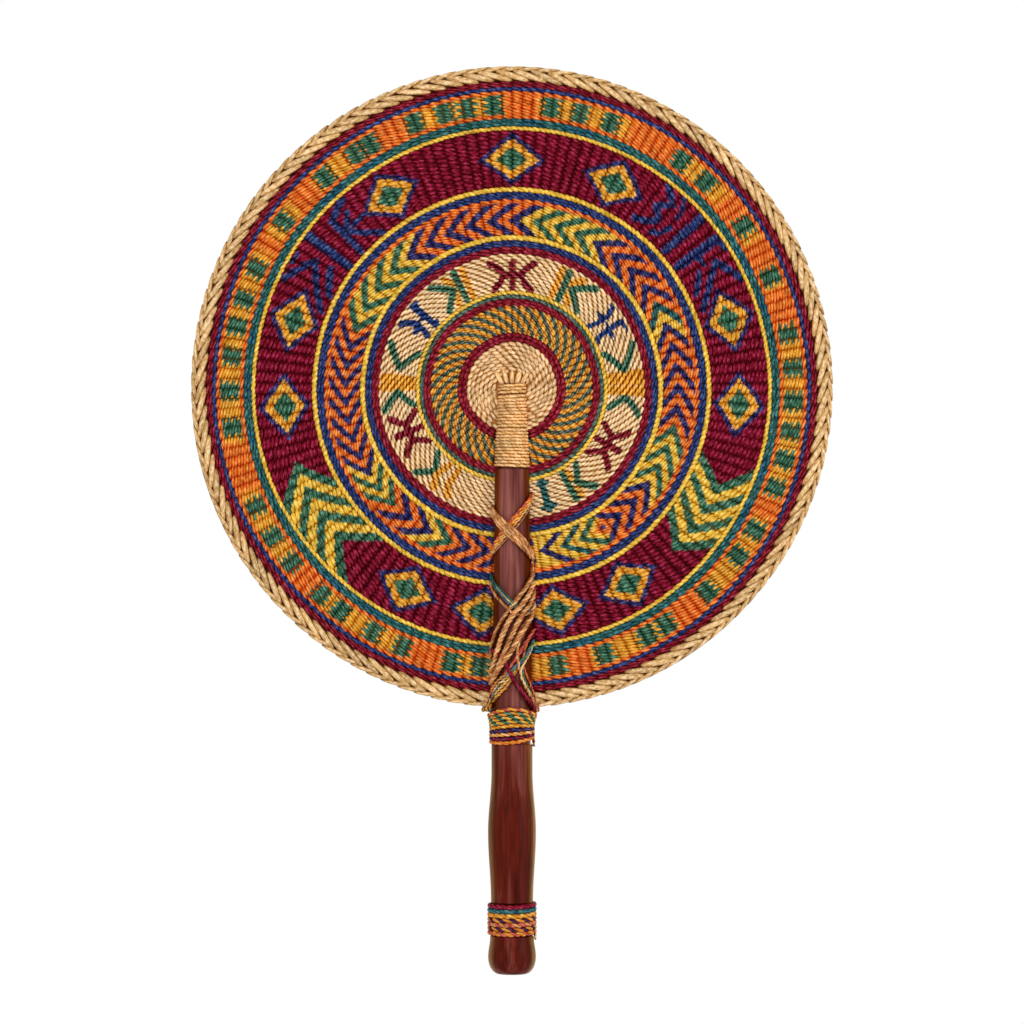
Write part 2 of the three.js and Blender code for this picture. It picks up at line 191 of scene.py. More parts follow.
def rounded_straw(segments, rings, squareness):
    """A straw's shape as corners and triangles: 1 long, wide and thick, lying along X, with blunt ends."""
    bpy.ops.object.select_all(action="DESELECT")
    lying = (0, math.pi / 2, 0)
    bpy.ops.mesh.primitive_uv_sphere_add(segments=segments, ring_count=rings, radius=0.5, rotation=lying)
    straw = bpy.context.object
    bpy.ops.object.transform_apply(location=True, rotation=True, scale=True)
    bpy.ops.object.mode_set(mode="EDIT")
    bpy.ops.mesh.select_all(action="SELECT")
    bpy.ops.mesh.quads_convert_to_tris()
    bpy.ops.object.mode_set(mode="OBJECT")
    corners = np.array([corner.co for corner in straw.data.vertices])
    faces = np.array([face.vertices for face in straw.data.polygons])
    ring = np.round(np.arccos(np.clip(2 * corners[:, 0], -1, 1)) / math.pi * rings)
    corners[:, 0] = np.interp(ring, (0, 1, rings - 1, rings), (0.5, 0.42, -0.42, -0.5))
    girth = (1 - (2 * abs(corners[:, 0])) ** squareness) ** (1 / squareness)
    old_girth = np.maximum(2 * np.hypot(corners[:, 1], corners[:, 2]), 0.001)
    corners[:, 1:] *= (girth / old_girth)[:, None]
    bpy.data.objects.remove(straw)
    return corners, faces


# Painted shade on the stitches: how much lighter their tops and middles are painted than their ends and
# sides.
stitch_painted_shade = (0.9, 0.4, 0.18)
fibre_length = 3 * mm


def lay_straws(shape, centre, along, out, size, rise, dye, seed, relief=stitch_painted_shade):
    """Copies of a straw's shape, each with its own place, direction, size, arch and dye.
    relief sets the painted shade, kept in the dye's alpha: how much lighter its top and its middle are
    painted than its ends, and how light those are."""
    corners, faces = shape
    across = np.cross(out, along)
    x, y, z = corners.T
    length, width, thickness = (np.asarray(measure)[:, None] for measure in size)
    lifted = thickness * z + rise[:, None] * np.cos(math.pi * x)
    points = (
        centre[:, None]
        + along[:, None] * (length * x)[..., None]
        + across[:, None] * (width * y)[..., None]
        + out[:, None] * lifted[..., None]
    )
    colours = np.ones((len(centre), len(corners), 4))
    colours[..., :3] = dye[:, None]
    # The alpha holds the painted shade: dark at the ends and sides, light along the top.
    colours[..., 3] = np.clip(relief[0] * z + relief[1] * np.cos(math.pi * x) + relief[2], 0, 1)
    grain = np.empty_like(points)
    grain[..., 0] = (x + 0.5)[None] * length / fibre_length
    grain[..., 1] = (np.arctan2(y, z) / math.tau + 0.5)[None]
    grain[..., 2] = seed[:, None]
    faces = faces[None] + np.arange(len(centre))[:, None, None] * len(corners)
    return points.reshape(-1, 3), faces.reshape(-1, 3), colours.reshape(-1, 4), grain.reshape(-1, 3)


def make_piece(name, lots, material, slot, *nodes):
    """One piece from several lots of corners, triangles, dyes and grain. It stands for the nodes."""
    points, faces, colours, grain = (list(kind) for kind in zip(*lots))
    first = np.cumsum([0] + [len(lot) for lot in points])
    faces = [lot + start for lot, start in zip(faces, first)]
    mesh = bpy.data.meshes.new(name)
    mesh.from_pydata(np.concatenate(points).tolist(), [], np.concatenate(faces).tolist())
    # The dye attribute's alpha holds the painted shade and highlight.
    dye = mesh.attributes.new("dye", "FLOAT_COLOR", "POINT")
    dye.data.foreach_set("color", np.concatenate(colours).ravel())
    fibre = mesh.attributes.new("grain", "FLOAT_VECTOR", "POINT")
    fibre.data.foreach_set("vector", np.concatenate(grain).ravel())
    mesh.polygons.foreach_set("use_smooth", [True] * len(mesh.polygons))
    mesh.materials.append(material)
    piece = bpy.data.objects.new(name, mesh)
    bpy.context.scene.collection.objects.link(piece)
    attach(piece, "root")
    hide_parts(*nodes)


def on_disc(radius, turn):
    """The point of the disc's middle plane at a radius, turn radians clockwise from the top."""
    x = radius * np.sin(turn)
    z = radius * np.cos(turn)
    return np.stack((x, np.zeros_like(x), z), axis=-1) + disc_centre


def outward(turn):
    """The direction away from the disc's centre."""
    return np.stack((np.sin(turn), np.zeros_like(turn), np.cos(turn)), axis=-1)


def clockwise(turn):
    """The direction round the disc's centre."""
    return np.stack((np.cos(turn), np.zeros_like(turn), -np.sin(turn)), axis=-1)


front = np.array((0, -1, 0))
back = np.array((0, 1, 0))
long_straw = rounded_straw(6, 7, 3)
shuffle = np.random.default_rng(4)

warps = []
for count, start, offset in warp_lots:
    turn = math.tau * np.arange(count) / count + math.radians(offset)
    beside = np.minimum(beside_farthest, (tip_reach + beside_clearance) / np.maximum(abs(np.sin(turn)), 0.01))
    # Only the straws that point up start near the centre: the others begin beside the tip binding.
    begin = np.where(np.cos(turn) < upright_from, np.maximum(start, beside), start)
    length = warp_end - begin
    centre = on_disc(begin + length / 2, turn)
    size = (length, np.full(count, warp_width), np.full(count, warp_thickness))
    # Painted shade: the warps are darkened for lying inside the weave.
    dye = dyes["natural"] * shuffle.uniform(*warp_tones, (count, 1)) * warp_painted_shade
    out = np.tile(front, (count, 1))
    seed = shuffle.uniform(0, 9, count)
    warps.append(lay_straws(long_straw, centre, outward(turn), out, size, np.zeros(count), dye, seed))

for face in (front, back):
    spread = np.linspace(-1, 1, head_count)
    along = outward(np.radians(head_lean) * spread)
    foot = np.full((head_count, 3), (0, face[1] * head_lift, tip_high.z))
    foot[:, 0] = head_spread * spread
    length = shuffle.uniform(*head_lengths, head_count) * mm
    centre = foot + along * (length[:, None] / 2 - head_sunk)
    width = shuffle.uniform(*head_widths, head_count) * mm
    size = (length, width, np.full(head_count, head_thickness))
    dye = dyes["tip_twine"] * shuffle.uniform(*head_tones, (head_count, 1))
    out = np.tile(face, (head_count, 1))
    seed = shuffle.uniform(0, 9, head_count)
    warps.append(lay_straws(long_straw, centre, along, out, size, np.full(head_count, head_rise), dye, seed))
make_piece("warp_straws", warps, natural_straw, "stake_straw", "warp_stakes")

# Hub weave
# The natural straw that starts the disc, twined in rings of short plump stitches round the warps.
# The handle's tip is bound through it, so its rings stop at that binding.
dyes["hub_natural"] = srgb(240, 198, 146)
hub_start = 1.5 * mm
hub_rows = 10
hub_stitch_pitch = 3.4 * mm
hub_bare_rows = 3
# Painted shade on the hub's stitches: dark low down, light on their tops.
hub_painted_shade = (1.55, 0.15, 0.04)
band_gap = 0.3 * mm
stitch_thickness = 1.35 * mm
stitch_rise = 0.72 * mm
stitch_base = 0.3 * mm
stitch_past_notch = 0.2 * mm
core_past_notch = 2.2 * mm
core_half_thickness = 0.95 * mm
core_row_share = 1.15
core_sides = 6
core_steps = 160
core_fibres = 40
# The cores are painted dark, as the shade that shows in the gaps between the stitches.
core_painted_shade = 0.08
core_shade_soak = 0.6
tip_top_reach = 7.2 * mm
tongue_half_width = 4.2 * mm
ring_stray = 0.28 * mm
figure_slope = 0.7
stitch = rounded_straw(6, 5, 3)
figured_stitch = rounded_straw(6, 8, 3)
spots_along = (-0.5, -0.3, -0.1, 0.1, 0.3, 0.5)
spots_across = (-0.4, 0, 0.4)
# How uneven the hand work is: place in stitches, row in rings, lean in degrees, the others as shares.
rib_sway = 0.12
place_spread = 0.02
row_spread = 0.03
lean_spread = 2
size_spread = 0.04
thickness_spread = 0.05
rise_spread = 0.06
tone_spread = 0.1
tooth_spread = 0.4


def in_notch(point, past):
    """Whether a point lies where the tip binding passes through the disc, by more than past."""
    x = abs(point[..., 0])
    height = point[..., 2]
    share = np.clip((tip_high.z - height) / (tip_high.z - tip_low.z), 0, 1)
    reach = tip_top_reach + (tip_reach - tip_top_reach) * share
    beside = (height < tip_high.z) & (height > tip_low.z)
    return (x < reach - past) & (x > tongue_half_width) & beside


def wander(turn):
    """How far a hand-made ring strays from a true circle."""
    return ring_stray * (np.sin(3 * turn + 0.6) + 0.6 * np.sin(7 * turn + 2.1))


def plain(name):
    """A colouring that is one dye everywhere."""
    return lambda degrees, share: np.tile(dyes[name], (*np.shape(degrees), 1))


def row_core(radius, width, colour_at, share):
    """The weft inside one ring: an unbroken flattened cord, painted in darker, deeper tones of its stitches'
    dyes as the shade in the gaps between them.
    """
    turn = math.tau * np.arange(core_steps) / core_steps
    middle = on_disc(radius + wander(turn), turn)
    keep = ~in_notch(middle, core_past_notch)
    side = math.tau * np.arange(core_sides) / core_sides
    points = (
        middle[:, None]
        + outward(turn)[:, None] * (width / 2 * np.cos(side))[None, :, None]
        + front * (core_half_thickness * np.sin(side))[None, :, None]
    )
    faces, ends = [], []
    for i in range(core_steps):
        after = (i + 1) % core_steps
        near, beyond = i * core_sides, after * core_sides
        if keep[i] and keep[after]:
            for k in range(core_sides):
                other = (k + 1) % core_sides
                faces.append((near + k, near + other, beyond + other))
                faces.append((near + k, beyond + other, beyond + k))
        elif keep[i]:
            ends.append((i, 1))
        elif keep[after]:
            ends.append((after, -1))
    for i, way in ends:
        for k in range(1, core_sides - 1):
            a, b, c = (i * core_sides + n for n in (0, k, k + 1))
            faces.append((a, b, c) if way > 0 else (a, c, b))
    dye = colour_at(np.degrees(turn), np.full(core_steps, share))
    colours = np.full((core_steps, core_sides, 4), core_painted_shade)
    colours[..., :3] = (dye ** (1 + core_shade_soak * dye.max(axis=-1, keepdims=True)))[:, None]
    grain = np.zeros((core_steps, core_sides, 3))
    grain[..., 0] = turn[:, None] * core_fibres
    return points.reshape(-1, 3), np.array(faces), colours.reshape(-1, 4), grain.reshape(-1, 3)


def dyes_at(points, inner, width, row_share, nudge, colour_at):
    """The dyes of one ring's stitches at the given points. A figure's slanting edge keeps part of its
    slope within the ring, and nudge, in degrees, moves it from ring to ring, as in real weaving."""
    off_centre = points - disc_centre
    turn = np.arctan2(off_centre[..., 0], off_centre[..., 2])
    share = (np.hypot(off_centre[..., 0], off_centre[..., 2]) - wander(turn) - inner) / width
    share = row_share + figure_slope * (share - row_share)
    return colour_at((np.degrees(turn) + nudge) % 360, share)


def weave_band(
    name, inner, rows, columns, colour_at, material, slot,
    lean=12, fill=1.16, plump=1.1, tooth=0.08, pieces=1, relief=stitch_painted_shade, stagger=0,
):
    """A band of twined weft: rings of slanted stitches on both faces, which line up in ribs from the
    band's inner edge to its outer one.
    lean is the slant in degrees, fill a stitch's length against its own space, plump its width
    against its row. columns is the number of stitches to a ring, or a function of the ring's number:
    none leaves the ring bare. stagger is how far every other ring is turned on, in stitches.
    colour_at takes degrees clockwise from the top and the share of the band's width, as arrays.
    tooth is how many degrees a figure's edge steps to and fro from ring to ring.
    pieces is how many pieces the band is made in, each of some of its rings. relief is the painted shade, as
    for lay_straws."""
    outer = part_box(name)[1].x + band_gap / 2
    row_step = (outer - inner) / rows
    random = np.random.default_rng(len(name) * 7 + rows)
    rings = []
    for row in range(rows):
        share = (row + 0.5) / rows
        lots = [row_core(inner + (row + 0.5) * row_step, row_step * core_row_share, colour_at, share)]
        rings.append(lots)
        count = columns(row) if callable(columns) else columns
        if not count:
            continue
        space = math.tau / count
        turn = space * (np.arange(count) + 0.5 + stagger * (row % 2))
        turn = turn + space * (rib_sway * np.sin(5 * turn) + random.normal(0, place_spread, count))
        stray = random.normal(0, row_spread, count) * row_step
        radius = inner + share * (outer - inner) + wander(turn) + stray
        tone = random.normal(1, tone_spread, count)
        nudge = tooth * (-1) ** row + random.normal(0, tooth_spread * tooth, count)
        middle = on_disc(radius, turn)
        keep = ~in_notch(middle, stitch_past_notch)
        for face in (front, back):
            slant = np.radians(lean + random.normal(0, lean_spread, count))[:, None]
            along = np.cos(slant) * clockwise(turn) + face[1] * np.sin(slant) * outward(turn)
            across = np.cross(face, along)
            length = radius * space * fill * random.normal(1, size_spread, count)
            width = row_step * plump * random.normal(1, size_spread, count)
            thickness = stitch_thickness * random.normal(1, thickness_spread, count)
            rise = stitch_rise * random.normal(1, rise_spread, count)
            seed = random.uniform(0, 9, count)
            spots = np.stack([
                middle + along * (length * ahead)[:, None] + across * (width * aside)[:, None]
                for ahead in spots_along for aside in spots_across
            ], axis=1)
            dye = dyes_at(spots, inner, outer - inner, share, nudge[:, None], colour_at)
            figured = np.ptp(dye, axis=1).max(axis=1) > 0
            for shape, chosen in ((stitch, keep & ~figured), (figured_stitch, keep & figured)):
                lot = lay_straws(
                    shape, (middle + face * stitch_base)[chosen], along[chosen],
                    np.tile(face, (chosen.sum(), 1)), (length[chosen], width[chosen], thickness[chosen]),
                    rise[chosen], dye[chosen, 0], seed[chosen], relief,
                )
                own_nudge, own_tone = (np.repeat(kind[chosen], len(shape[0])) for kind in (nudge, tone))
                colour = dyes_at(lot[0], inner, outer - inner, share, own_nudge, colour_at)
                lot[2][:, :3] = colour * own_tone[:, None]
                lots.append(lot)
    for part in range(pieces):
        make_piece(name + "_straw" + "_outer" * part, sum(rings[part::pieces], []), material, slot, name)
    return outer


def hub_columns(row):
    """Few stitches in the small inner rings of the hub and more in the wide ones. The innermost rings,
    under the heads of the first straws, have none."""
    if row < hub_bare_rows:
        return 0
    radius = hub_start + (row + 0.5) / hub_rows * (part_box("hub_weave")[1].x - hub_start)
    return round(math.tau * radius / hub_stitch_pitch)


hub_edge = weave_band(
    "hub_weave", hub_start, hub_rows, hub_columns, plain("hub_natural"), natural_straw, "natural_straw",
    lean=24, fill=1.3, plump=0.98, relief=hub_painted_shade, stagger=0.5,
)

# Red ring and spiral band
# Two rings of red, then the band where gold and green straws are twined together,
# so that their stitches line up in some thirty-five curved arms that run inwards clockwise.
dyes.update(red=srgb(126, 22, 36), dull_green=srgb(72, 90, 78))
dyes.update(gold=srgb(228, 158, 50), amber=srgb(208, 126, 38))
dyed_straw = straw_material("dyed_straw", 0.03)
spiral_columns = 72
spiral_sweep = 23
spiral_curve = 1.1
spiral_green_share = 0.46
# Painted shade on the spiral's stitches: dark at their ends and sides, light on their tops.
spiral_painted_shade = (1, 0.1, 0.42)


def plain_rings(name, inner, rows, columns, dye, slot, lean, fill=1.5, plump=1.1):
    """Rings of one dye, their stitches so long that they overlap like the strands of a rope."""
    return weave_band(
        name, inner, rows, columns, plain(dye), dyed_straw, slot, lean=lean, fill=fill, plump=plump,
    )


def spiral_colour(degrees, share):
    """Arms of green on gold. Here and there the gold is darker."""
    arm = (degrees + spiral_sweep * np.maximum(share, 0) ** spiral_curve) * spiral_columns / 720
    colour = plain("gold")(degrees, share)
    colour[np.sin(5 * np.floor(arm) + 31 * share) > 0.6] = dyes["amber"]
    colour[arm % 1 < spiral_green_share] = dyes["dull_green"]
    return colour


hub_red_edge = plain_rings("hub_red_band", hub_edge, 2, 50, "red", "red_straw", 17)
spiral_edge = weave_band(
    "gold_green_spiral_band", hub_red_edge, 10, spiral_columns, spiral_colour, dyed_straw, "gold_straw",
    lean=27, tooth=0.4, relief=spiral_painted_shade,
)

# Three inner rings
# Thin plain rings of red, green and yellow straw, which frame the natural band.
dyes["yellow"] = srgb(234, 186, 66)
rope_pitch = 2.7 * mm


def yellow_ring(name, inner, lean=24):
    """A single ring of tightly twisted yellow straw, which shows its plies as short marks at one pitch."""
    columns = round(math.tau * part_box(name)[1].x / rope_pitch)
    return plain_rings(name, inner, 1, columns, "yellow", "yellow_straw", lean, 1.75, 0.85)


inner_red_edge = plain_rings("inner_red_band", spiral_edge, 2, 66, "red", "red_straw", 15)
inner_green_edge = plain_rings("inner_green_band", inner_red_edge, 1, 84, "dull_green", "green_straw", 16)
inner_yellow_edge = yellow_ring("inner_yellow_band", inner_green_edge, 26)

# Natural band
# Undyed straw with woven-in figures: three red crosses with bowed arms, and bars, angles and knots
# in green, teal, gold and blue between them, the same on both sides of the fan.
dyes.update(green=srgb(58, 102, 78), teal=srgb(40, 88, 86), royal=srgb(30, 54, 112))
# Painted shade on the natural band's stitches: dark at their ends and sides, light on their tops.
natural_painted_shade = (1.4, 0.15, 0.28)
natural_middle = 57.25 * mm
natural_width = 18.5 * mm


def bowed_cross(middle, reach):
    """A red cross: a bar with arms bowed towards it on each side. Each stroke has its dye, half its width
    in millimetres and its points, as degrees clockwise from the top and shares of the band's width."""
    return (
        ("red", 1.8, ((middle + 0.3, 0.76), (middle + 0.3, 0.06))),
        ("red", 1.8, ((middle - 4.6, 0.42), (middle + 4.6, 0.42))),
        ("red", 1.7, ((middle - reach, 0.79), (middle - 6.2, 0.6), (middle - 4.4, 0.46))),
        ("red", 1.7, ((middle - 4.6, 0.4), (middle - 6.2, 0.24), (middle - reach, 0.08))),
        ("red", 1.7, ((middle + reach, 0.79), (middle + 6.2, 0.58), (middle + 4.6, 0.44))),
        ("red", 1.7, ((middle + 4.8, 0.4), (middle + 7, 0.22), (middle + reach + 1, 0.07))),
    )


def angle_mark(end, tip):
    """A green V on its side: it opens at one turn of the disc and has its point at the other."""
    return ("green", 1.7, ((end, 0.88), (tip, 0.48), (end, 0.07)))


natural_figures = (
    *bowed_cross(0, 10.3), *bowed_cross(120.7, 9.3), *bowed_cross(246.3, 9),
    ("green", 1.8, ((26.6, 0.85), (27.3, 0.5), (27.7, 0.04))),
    ("gold", 1.8, ((23.4, 0.88), (23.4, 0.03))),
    angle_mark(40.5, 31.2),
    ("gold", 1.9, ((33.6, 0.84), (30, 0.62))),
    ("gold", 1.9, ((33.6, 0.1), (30, 0.34))),
    ("royal", 1.4, ((51.9, 0.85), (53.4, 0.62), (53.2, 0.47), (53.1, 0.27), (52, 0.08))),
    ("royal", 1, ((50.6, 0.88), (52.5, 0.82))),
    ("royal", 1.3, ((51.2, 0.48), (53.4, 0.48))),
    ("royal", 0.5, ((48.6, 0.48), (52, 0.48))),
    ("royal", 1.1, ((50.8, 0.06), (52.4, 0.1))),
    ("royal", 1.5, ((59.3, 0.86), (58.9, 0.65), (59.3, 0.47), (59.5, 0.27), (60.4, 0.07))),
    ("royal", 0.9, ((59.6, 0.87), (62, 0.87))),
    ("royal", 0.4, ((61, 0.88), (64.6, 0.88))),
    ("royal", 1.4, ((59.4, 0.46), (62.6, 0.45))),
    ("royal", 0.5, ((61, 0.44), (65.4, 0.43))),
    ("royal", 0.6, ((53.4, 0.48), (59.2, 0.48))),
    ("royal", 0.8, ((60, 0.06), (62.8, 0.05))),
    angle_mark(70.4, 81.4),
    ("gold", 1.6, ((83.3, 0.98), (83.3, 0.02))),
    ("gold", 2, ((86.8, 0.98), (86.8, 0.02))),
    ("gold", 2.5, ((91.6, 0.98), (91.6, 0.02))),
    angle_mark(102, 94.6), angle_mark(140, 145.6),
    ("green", 1.6, ((150, 0.86), (150, 0.04))),
    ("gold", 1.9, ((147.4, 0.84), (147, 0.62))),
    ("gold", 1.9, ((147.4, 0.1), (147, 0.34))),
    ("teal", 1.8, ((162.8, 0.82), (162.8, 0.06))),
    ("teal", 1.2, ((159.6, 0.77), (165.6, 0.77))),
    ("teal", 1.2, ((159.8, 0.12), (164.8, 0.12))),
    ("gold", 1.7, ((210.6, 0.8), (213.4, 0.6), (212.6, 0.06))),
    ("gold", 1.7, ((218, 0.84), (221, 0.5), (218.4, 0.08))),
    ("green", 1, ((217.3, 0.74), (217.4, 0.66))),
    angle_mark(228.6, 222.6), angle_mark(259.8, 267.6),
    ("gold", 2, ((270.1, 0.9), (270.1, 0.02))),
    ("gold", 2.3, ((274.2, 0.86), (274.2, 0.1))),
    angle_mark(290, 279.8),
    ("royal", 1.6, ((299.8, 0.86), (303.2, 0.56), (303.6, 0.42), (301.8, 0.08))),
    ("royal", 1.2, ((299.2, 0.41), (303, 0.42))),
    ("royal", 1.1, ((300.3, 0.09), (302, 0.12))),
    ("royal", 1.8, ((309.3, 0.86), (309.3, 0.05))),
    ("royal", 1.1, ((309.3, 0.88), (311.6, 0.87))),
    ("royal", 1.2, ((309.3, 0.1), (311.3, 0.11))),
    ("royal", 0.8, ((303.5, 0.5), (309, 0.47))),
    angle_mark(320.6, 329),
    ("green", 1.8, ((332.8, 0.88), (332.8, 0.04))),
    ("gold", 1.7, ((327.6, 0.86), (330.6, 0.5), (327.6, 0.08))),
    ("gold", 1.7, ((336.8, 0.86), (336.8, 0.06))),
)


def draw_figures(colour, figures, radius, width, degrees, share):
    """Dyes the places that the figures' strokes pass. An earlier figure lies over a later one."""
    for dye, half_width, points in reversed(figures):
        for (turn_a, share_a), (turn_b, share_b) in zip(points, points[1:]):
            along = math.radians(turn_b - turn_a) * radius
            rise = (share_b - share_a) * width
            x = np.radians((degrees - turn_a + 180) % 360 - 180) * radius
            y = (share - share_a) * width
            part = np.clip((x * along + y * rise) / (along**2 + rise**2), 0, 1)
            colour[np.hypot(x - part * along, y - part * rise) < half_width * mm] = dyes[dye]


def natural_colour(degrees, share):
    """Natural straw with its figures."""
    colour = plain("natural")(degrees, share)
    draw_figures(colour, natural_figures, natural_middle, natural_width, degrees, share)
    return colour


natural_edge = weave_band(
    "natural_motif_band", inner_yellow_edge, 12, 90, natural_colour, natural_straw, "natural_straw",
    lean=17, plump=0.98, relief=natural_painted_shade, stagger=0.5,
)

# Three middle rings
# Rings of red, blue and yellow straw between the natural band and the arrow band.
dyes["blue"] = srgb(38, 50, 98)
middle_red_edge = plain_rings("middle_red_band", natural_edge, 2, 84, "red", "red_straw", 14)
middle_blue_edge = plain_rings("middle_blue_band", middle_red_edge, 2, 96, "blue", "blue_straw", 13, 1.6)
middle_yellow_edge = yellow_ring("middle_yellow_band", middle_blue_edge)

# Arrow band
# Pointed stripes in two dyes at a time, which run round the disc with their points against the clock.
# They turn back beside the handle, with a small lozenge where they meet.
dyes.update(navy=srgb(44, 44, 92), orange=srgb(230, 116, 42))
arrow_sweep = 8.2
arrow_middle = 0.4
arrow_edge_share = 0.88
arrow_turn = 146.9
arrow_turn_end = 172
# From where to where each run of stripes goes, in degrees, its number of pairs and its two dyes.
arrow_runs = (
    (-1.5, 6.6, 1, "navy", "yellow"),
    (6.6, 28.7, 3, "green", "yellow"),
    (28.7, 58.5, 4, "navy", "orange"),
    (58.5, 66.5, 1, "teal", "yellow"),
    (66.5, 102.5, 5, "navy", "orange"),
    (102.5, 123.8, 3, "green", "yellow"),
    (123.8, 160, 5, "navy", "orange"),
    (160, 200.5, 6, "navy", "orange"),
    (200.5, 208.2, 1, "green", "yellow"),
    (208.2, 224.3, 2, "navy", "orange"),
    (224.3, 237.4, 2, "green", "yellow"),
    (237.4, 288.5, 8, "navy", "orange"),
    (288.5, 320.2, 4, "green", "yellow"),
    (320.2, 358.5, 5, "navy", "orange"),
)
# Where each stripe of those that turn back ends, and its dye.
arrow_back_stripes = (
    (148.6, "navy"), (150.8, "orange"), (153.6, "yellow"), (156.8, "green"), (160.2, "yellow"),
    (163.4, "teal"), (167.4, "yellow"), (170.8, "navy"), (185, "yellow"),
)


def arrow_colour(degrees, share):
    """Stripes that start later the further they are from the middle ring, with orange outside them."""
    colour = plain("orange")(degrees, share)
    swept = arrow_sweep * abs(share - arrow_middle) / (arrow_edge_share - arrow_middle)
    striped = share < arrow_edge_share
    first_point = arrow_runs[0][0]
    point = (degrees - swept - first_point) % 360 + first_point
    for start, end, count, dark, light in arrow_runs:
        stripe = np.floor((point - start) / (end - start) * count * 2)
        within = striped & (point >= start) & (point < end)
        colour[within & (stripe % 2 == 0)] = dyes[dark]
        colour[within & (stripe % 2 == 1)] = dyes[light]
    turned_back = striped & (degrees > arrow_turn) & (degrees < arrow_turn_end)
    colour[turned_back] = dyes["orange"]
    for end, dye in reversed(arrow_back_stripes):
        colour[turned_back & (degrees + swept < end)] = dyes[dye]
    return colour


arrow_edge = weave_band(
    "chevron_band", middle_yellow_edge, 13, 112, arrow_colour, dyed_straw, "navy_straw", lean=19, pieces=2,
)

# Two outer rings
# A ring of blue and a ring of yellow straw, inside the wide maroon band.
outer_blue_edge = plain_rings("outer_blue_band", arrow_edge, 2, 150, "blue", "blue_straw", 18, 1.6)
outer_yellow_edge = yellow_ring("outer_yellow_band", outer_blue_edge)

# Maroon band
# The widest band: lozenges with a green heart and a gold ring, two panels of pointed stripes,
# and dark blue strokes between them, on maroon straw.
dyes["maroon"] = srgb(120, 15, 38)
maroon_middle = 114 * mm
maroon_width = 28 * mm
lozenge_turns = (0, 26.6, 72.7, 94.4, 149.4, 168.7, 187.5, 207.6, 265.2, 287.2, 327.4)
lozenge_reach = 8.4
lozenge_half_height = 0.46
lozenge_heart = 0.47
lozenge_ring = 0.8
lozenge_edge = 1.03
lozenge_middle = 0.49
# From where to where each panel goes, and how much further its stripes start at its edges.
panels = ((115.2, 135.6, 6.6), (227.9, 251, 8))
panel_stripes = 7
# Half the width of each stroke, in millimetres, and its points.
maroon_strokes = (
    (1.7, ((38, 0.97), (41.4, 0.74), (38.4, 0.56), (41.2, 0.4), (39.4, 0.25), (35.6, 0.15))),
    (1.1, ((42.4, 0.98), (44.1, 0.78), (44.4, 0.62))),
    (1.5, ((44.7, 0.42), (43.8, 0.22), (41.8, 0.14))),
    (2.3, ((48.3, 0.98), (48.3, 0.1))),
    (2.5, ((54, 0.92), (54, 0.1))),
    (1.3, ((54.6, 0.94), (57, 0.97))),
    (1.5, ((55, 0.49), (57.2, 0.49))),
    (1.7, ((64.6, 0.97), (58.4, 0.7), (61.6, 0.46), (68, 0.12))),
    (1.6, ((58.8, 0.34), (63.2, 0.12))),
    (1.7, ((295.6, 0.94), (302.6, 0.6), (291.6, 0.1))),
    (1.9, ((303, 0.3), (296.6, 0.08))),
    (1.1, ((299.8, 0.96), (302, 0.93))),
    (2.3, ((306.7, 0.98), (306.7, 0.06))),
    (1.9, ((317.8, 0.96), (312.6, 0.8), (312, 0.08))),
    (1.6, ((316.6, 0.72), (313.6, 0.5), (316, 0.26), (320.4, 0.04))),
    (1.3, ((315.6, 0.48), (318.6, 0.5))),
)


def maroon_colour(degrees, share):
    """Maroon straw with its blue strokes, then the panels, then the lozenges over them."""
    colour = plain("maroon")(degrees, share)
    strokes = [("blue", *stroke) for stroke in maroon_strokes]
    draw_figures(colour, strokes, maroon_middle, maroon_width, degrees, share)
    for start, end, sweep in panels:
        point = (degrees + sweep * abs(share - 0.5) * 2 - start) / (end - start)
        within = (point >= 0) & (point < 1)
        stripe = np.floor(point * panel_stripes)
        colour[within & (stripe % 2 == 0)] = dyes["green"]
        colour[within & (stripe % 2 == 1)] = dyes["yellow"]
    for middle in lozenge_turns:
        turned = abs((degrees - middle + 180) % 360 - 180)
        away = turned / lozenge_reach + abs(share - lozenge_middle) / lozenge_half_height
        colour[away < lozenge_edge] = dyes["navy"]
        colour[away < lozenge_ring] = dyes["gold"]
        colour[away < lozenge_heart] = dyes["green"]
    return colour


maroon_edge = weave_band(
    "maroon_motif_band", outer_yellow_edge, 13, 138, maroon_colour, dyed_straw, "maroon_straw",
    lean=18, pieces=2,
)

# Border rings
# A ring of yellow and two rings of teal straw, between the maroon band and the orange one.
dyes["deep_teal"] = srgb(32, 80, 94)


def teal_colour(degrees, share):
    """Two teals, which take turns in uneven stretches."""
    turn = np.radians(degrees)
    colour = plain("teal")(degrees, share)
    colour[np.sin(7 * turn) + 0.8 * np.sin(31 * turn) > 0.7] = dyes["deep_teal"]
    return colour


border_yellow_edge = yellow_ring("border_yellow_band", maroon_edge, 20)
border_teal_edge = weave_band(
    "border_teal_band", border_yellow_edge, 2, 160, teal_colour, dyed_straw, "teal_straw", fill=1.5,
)

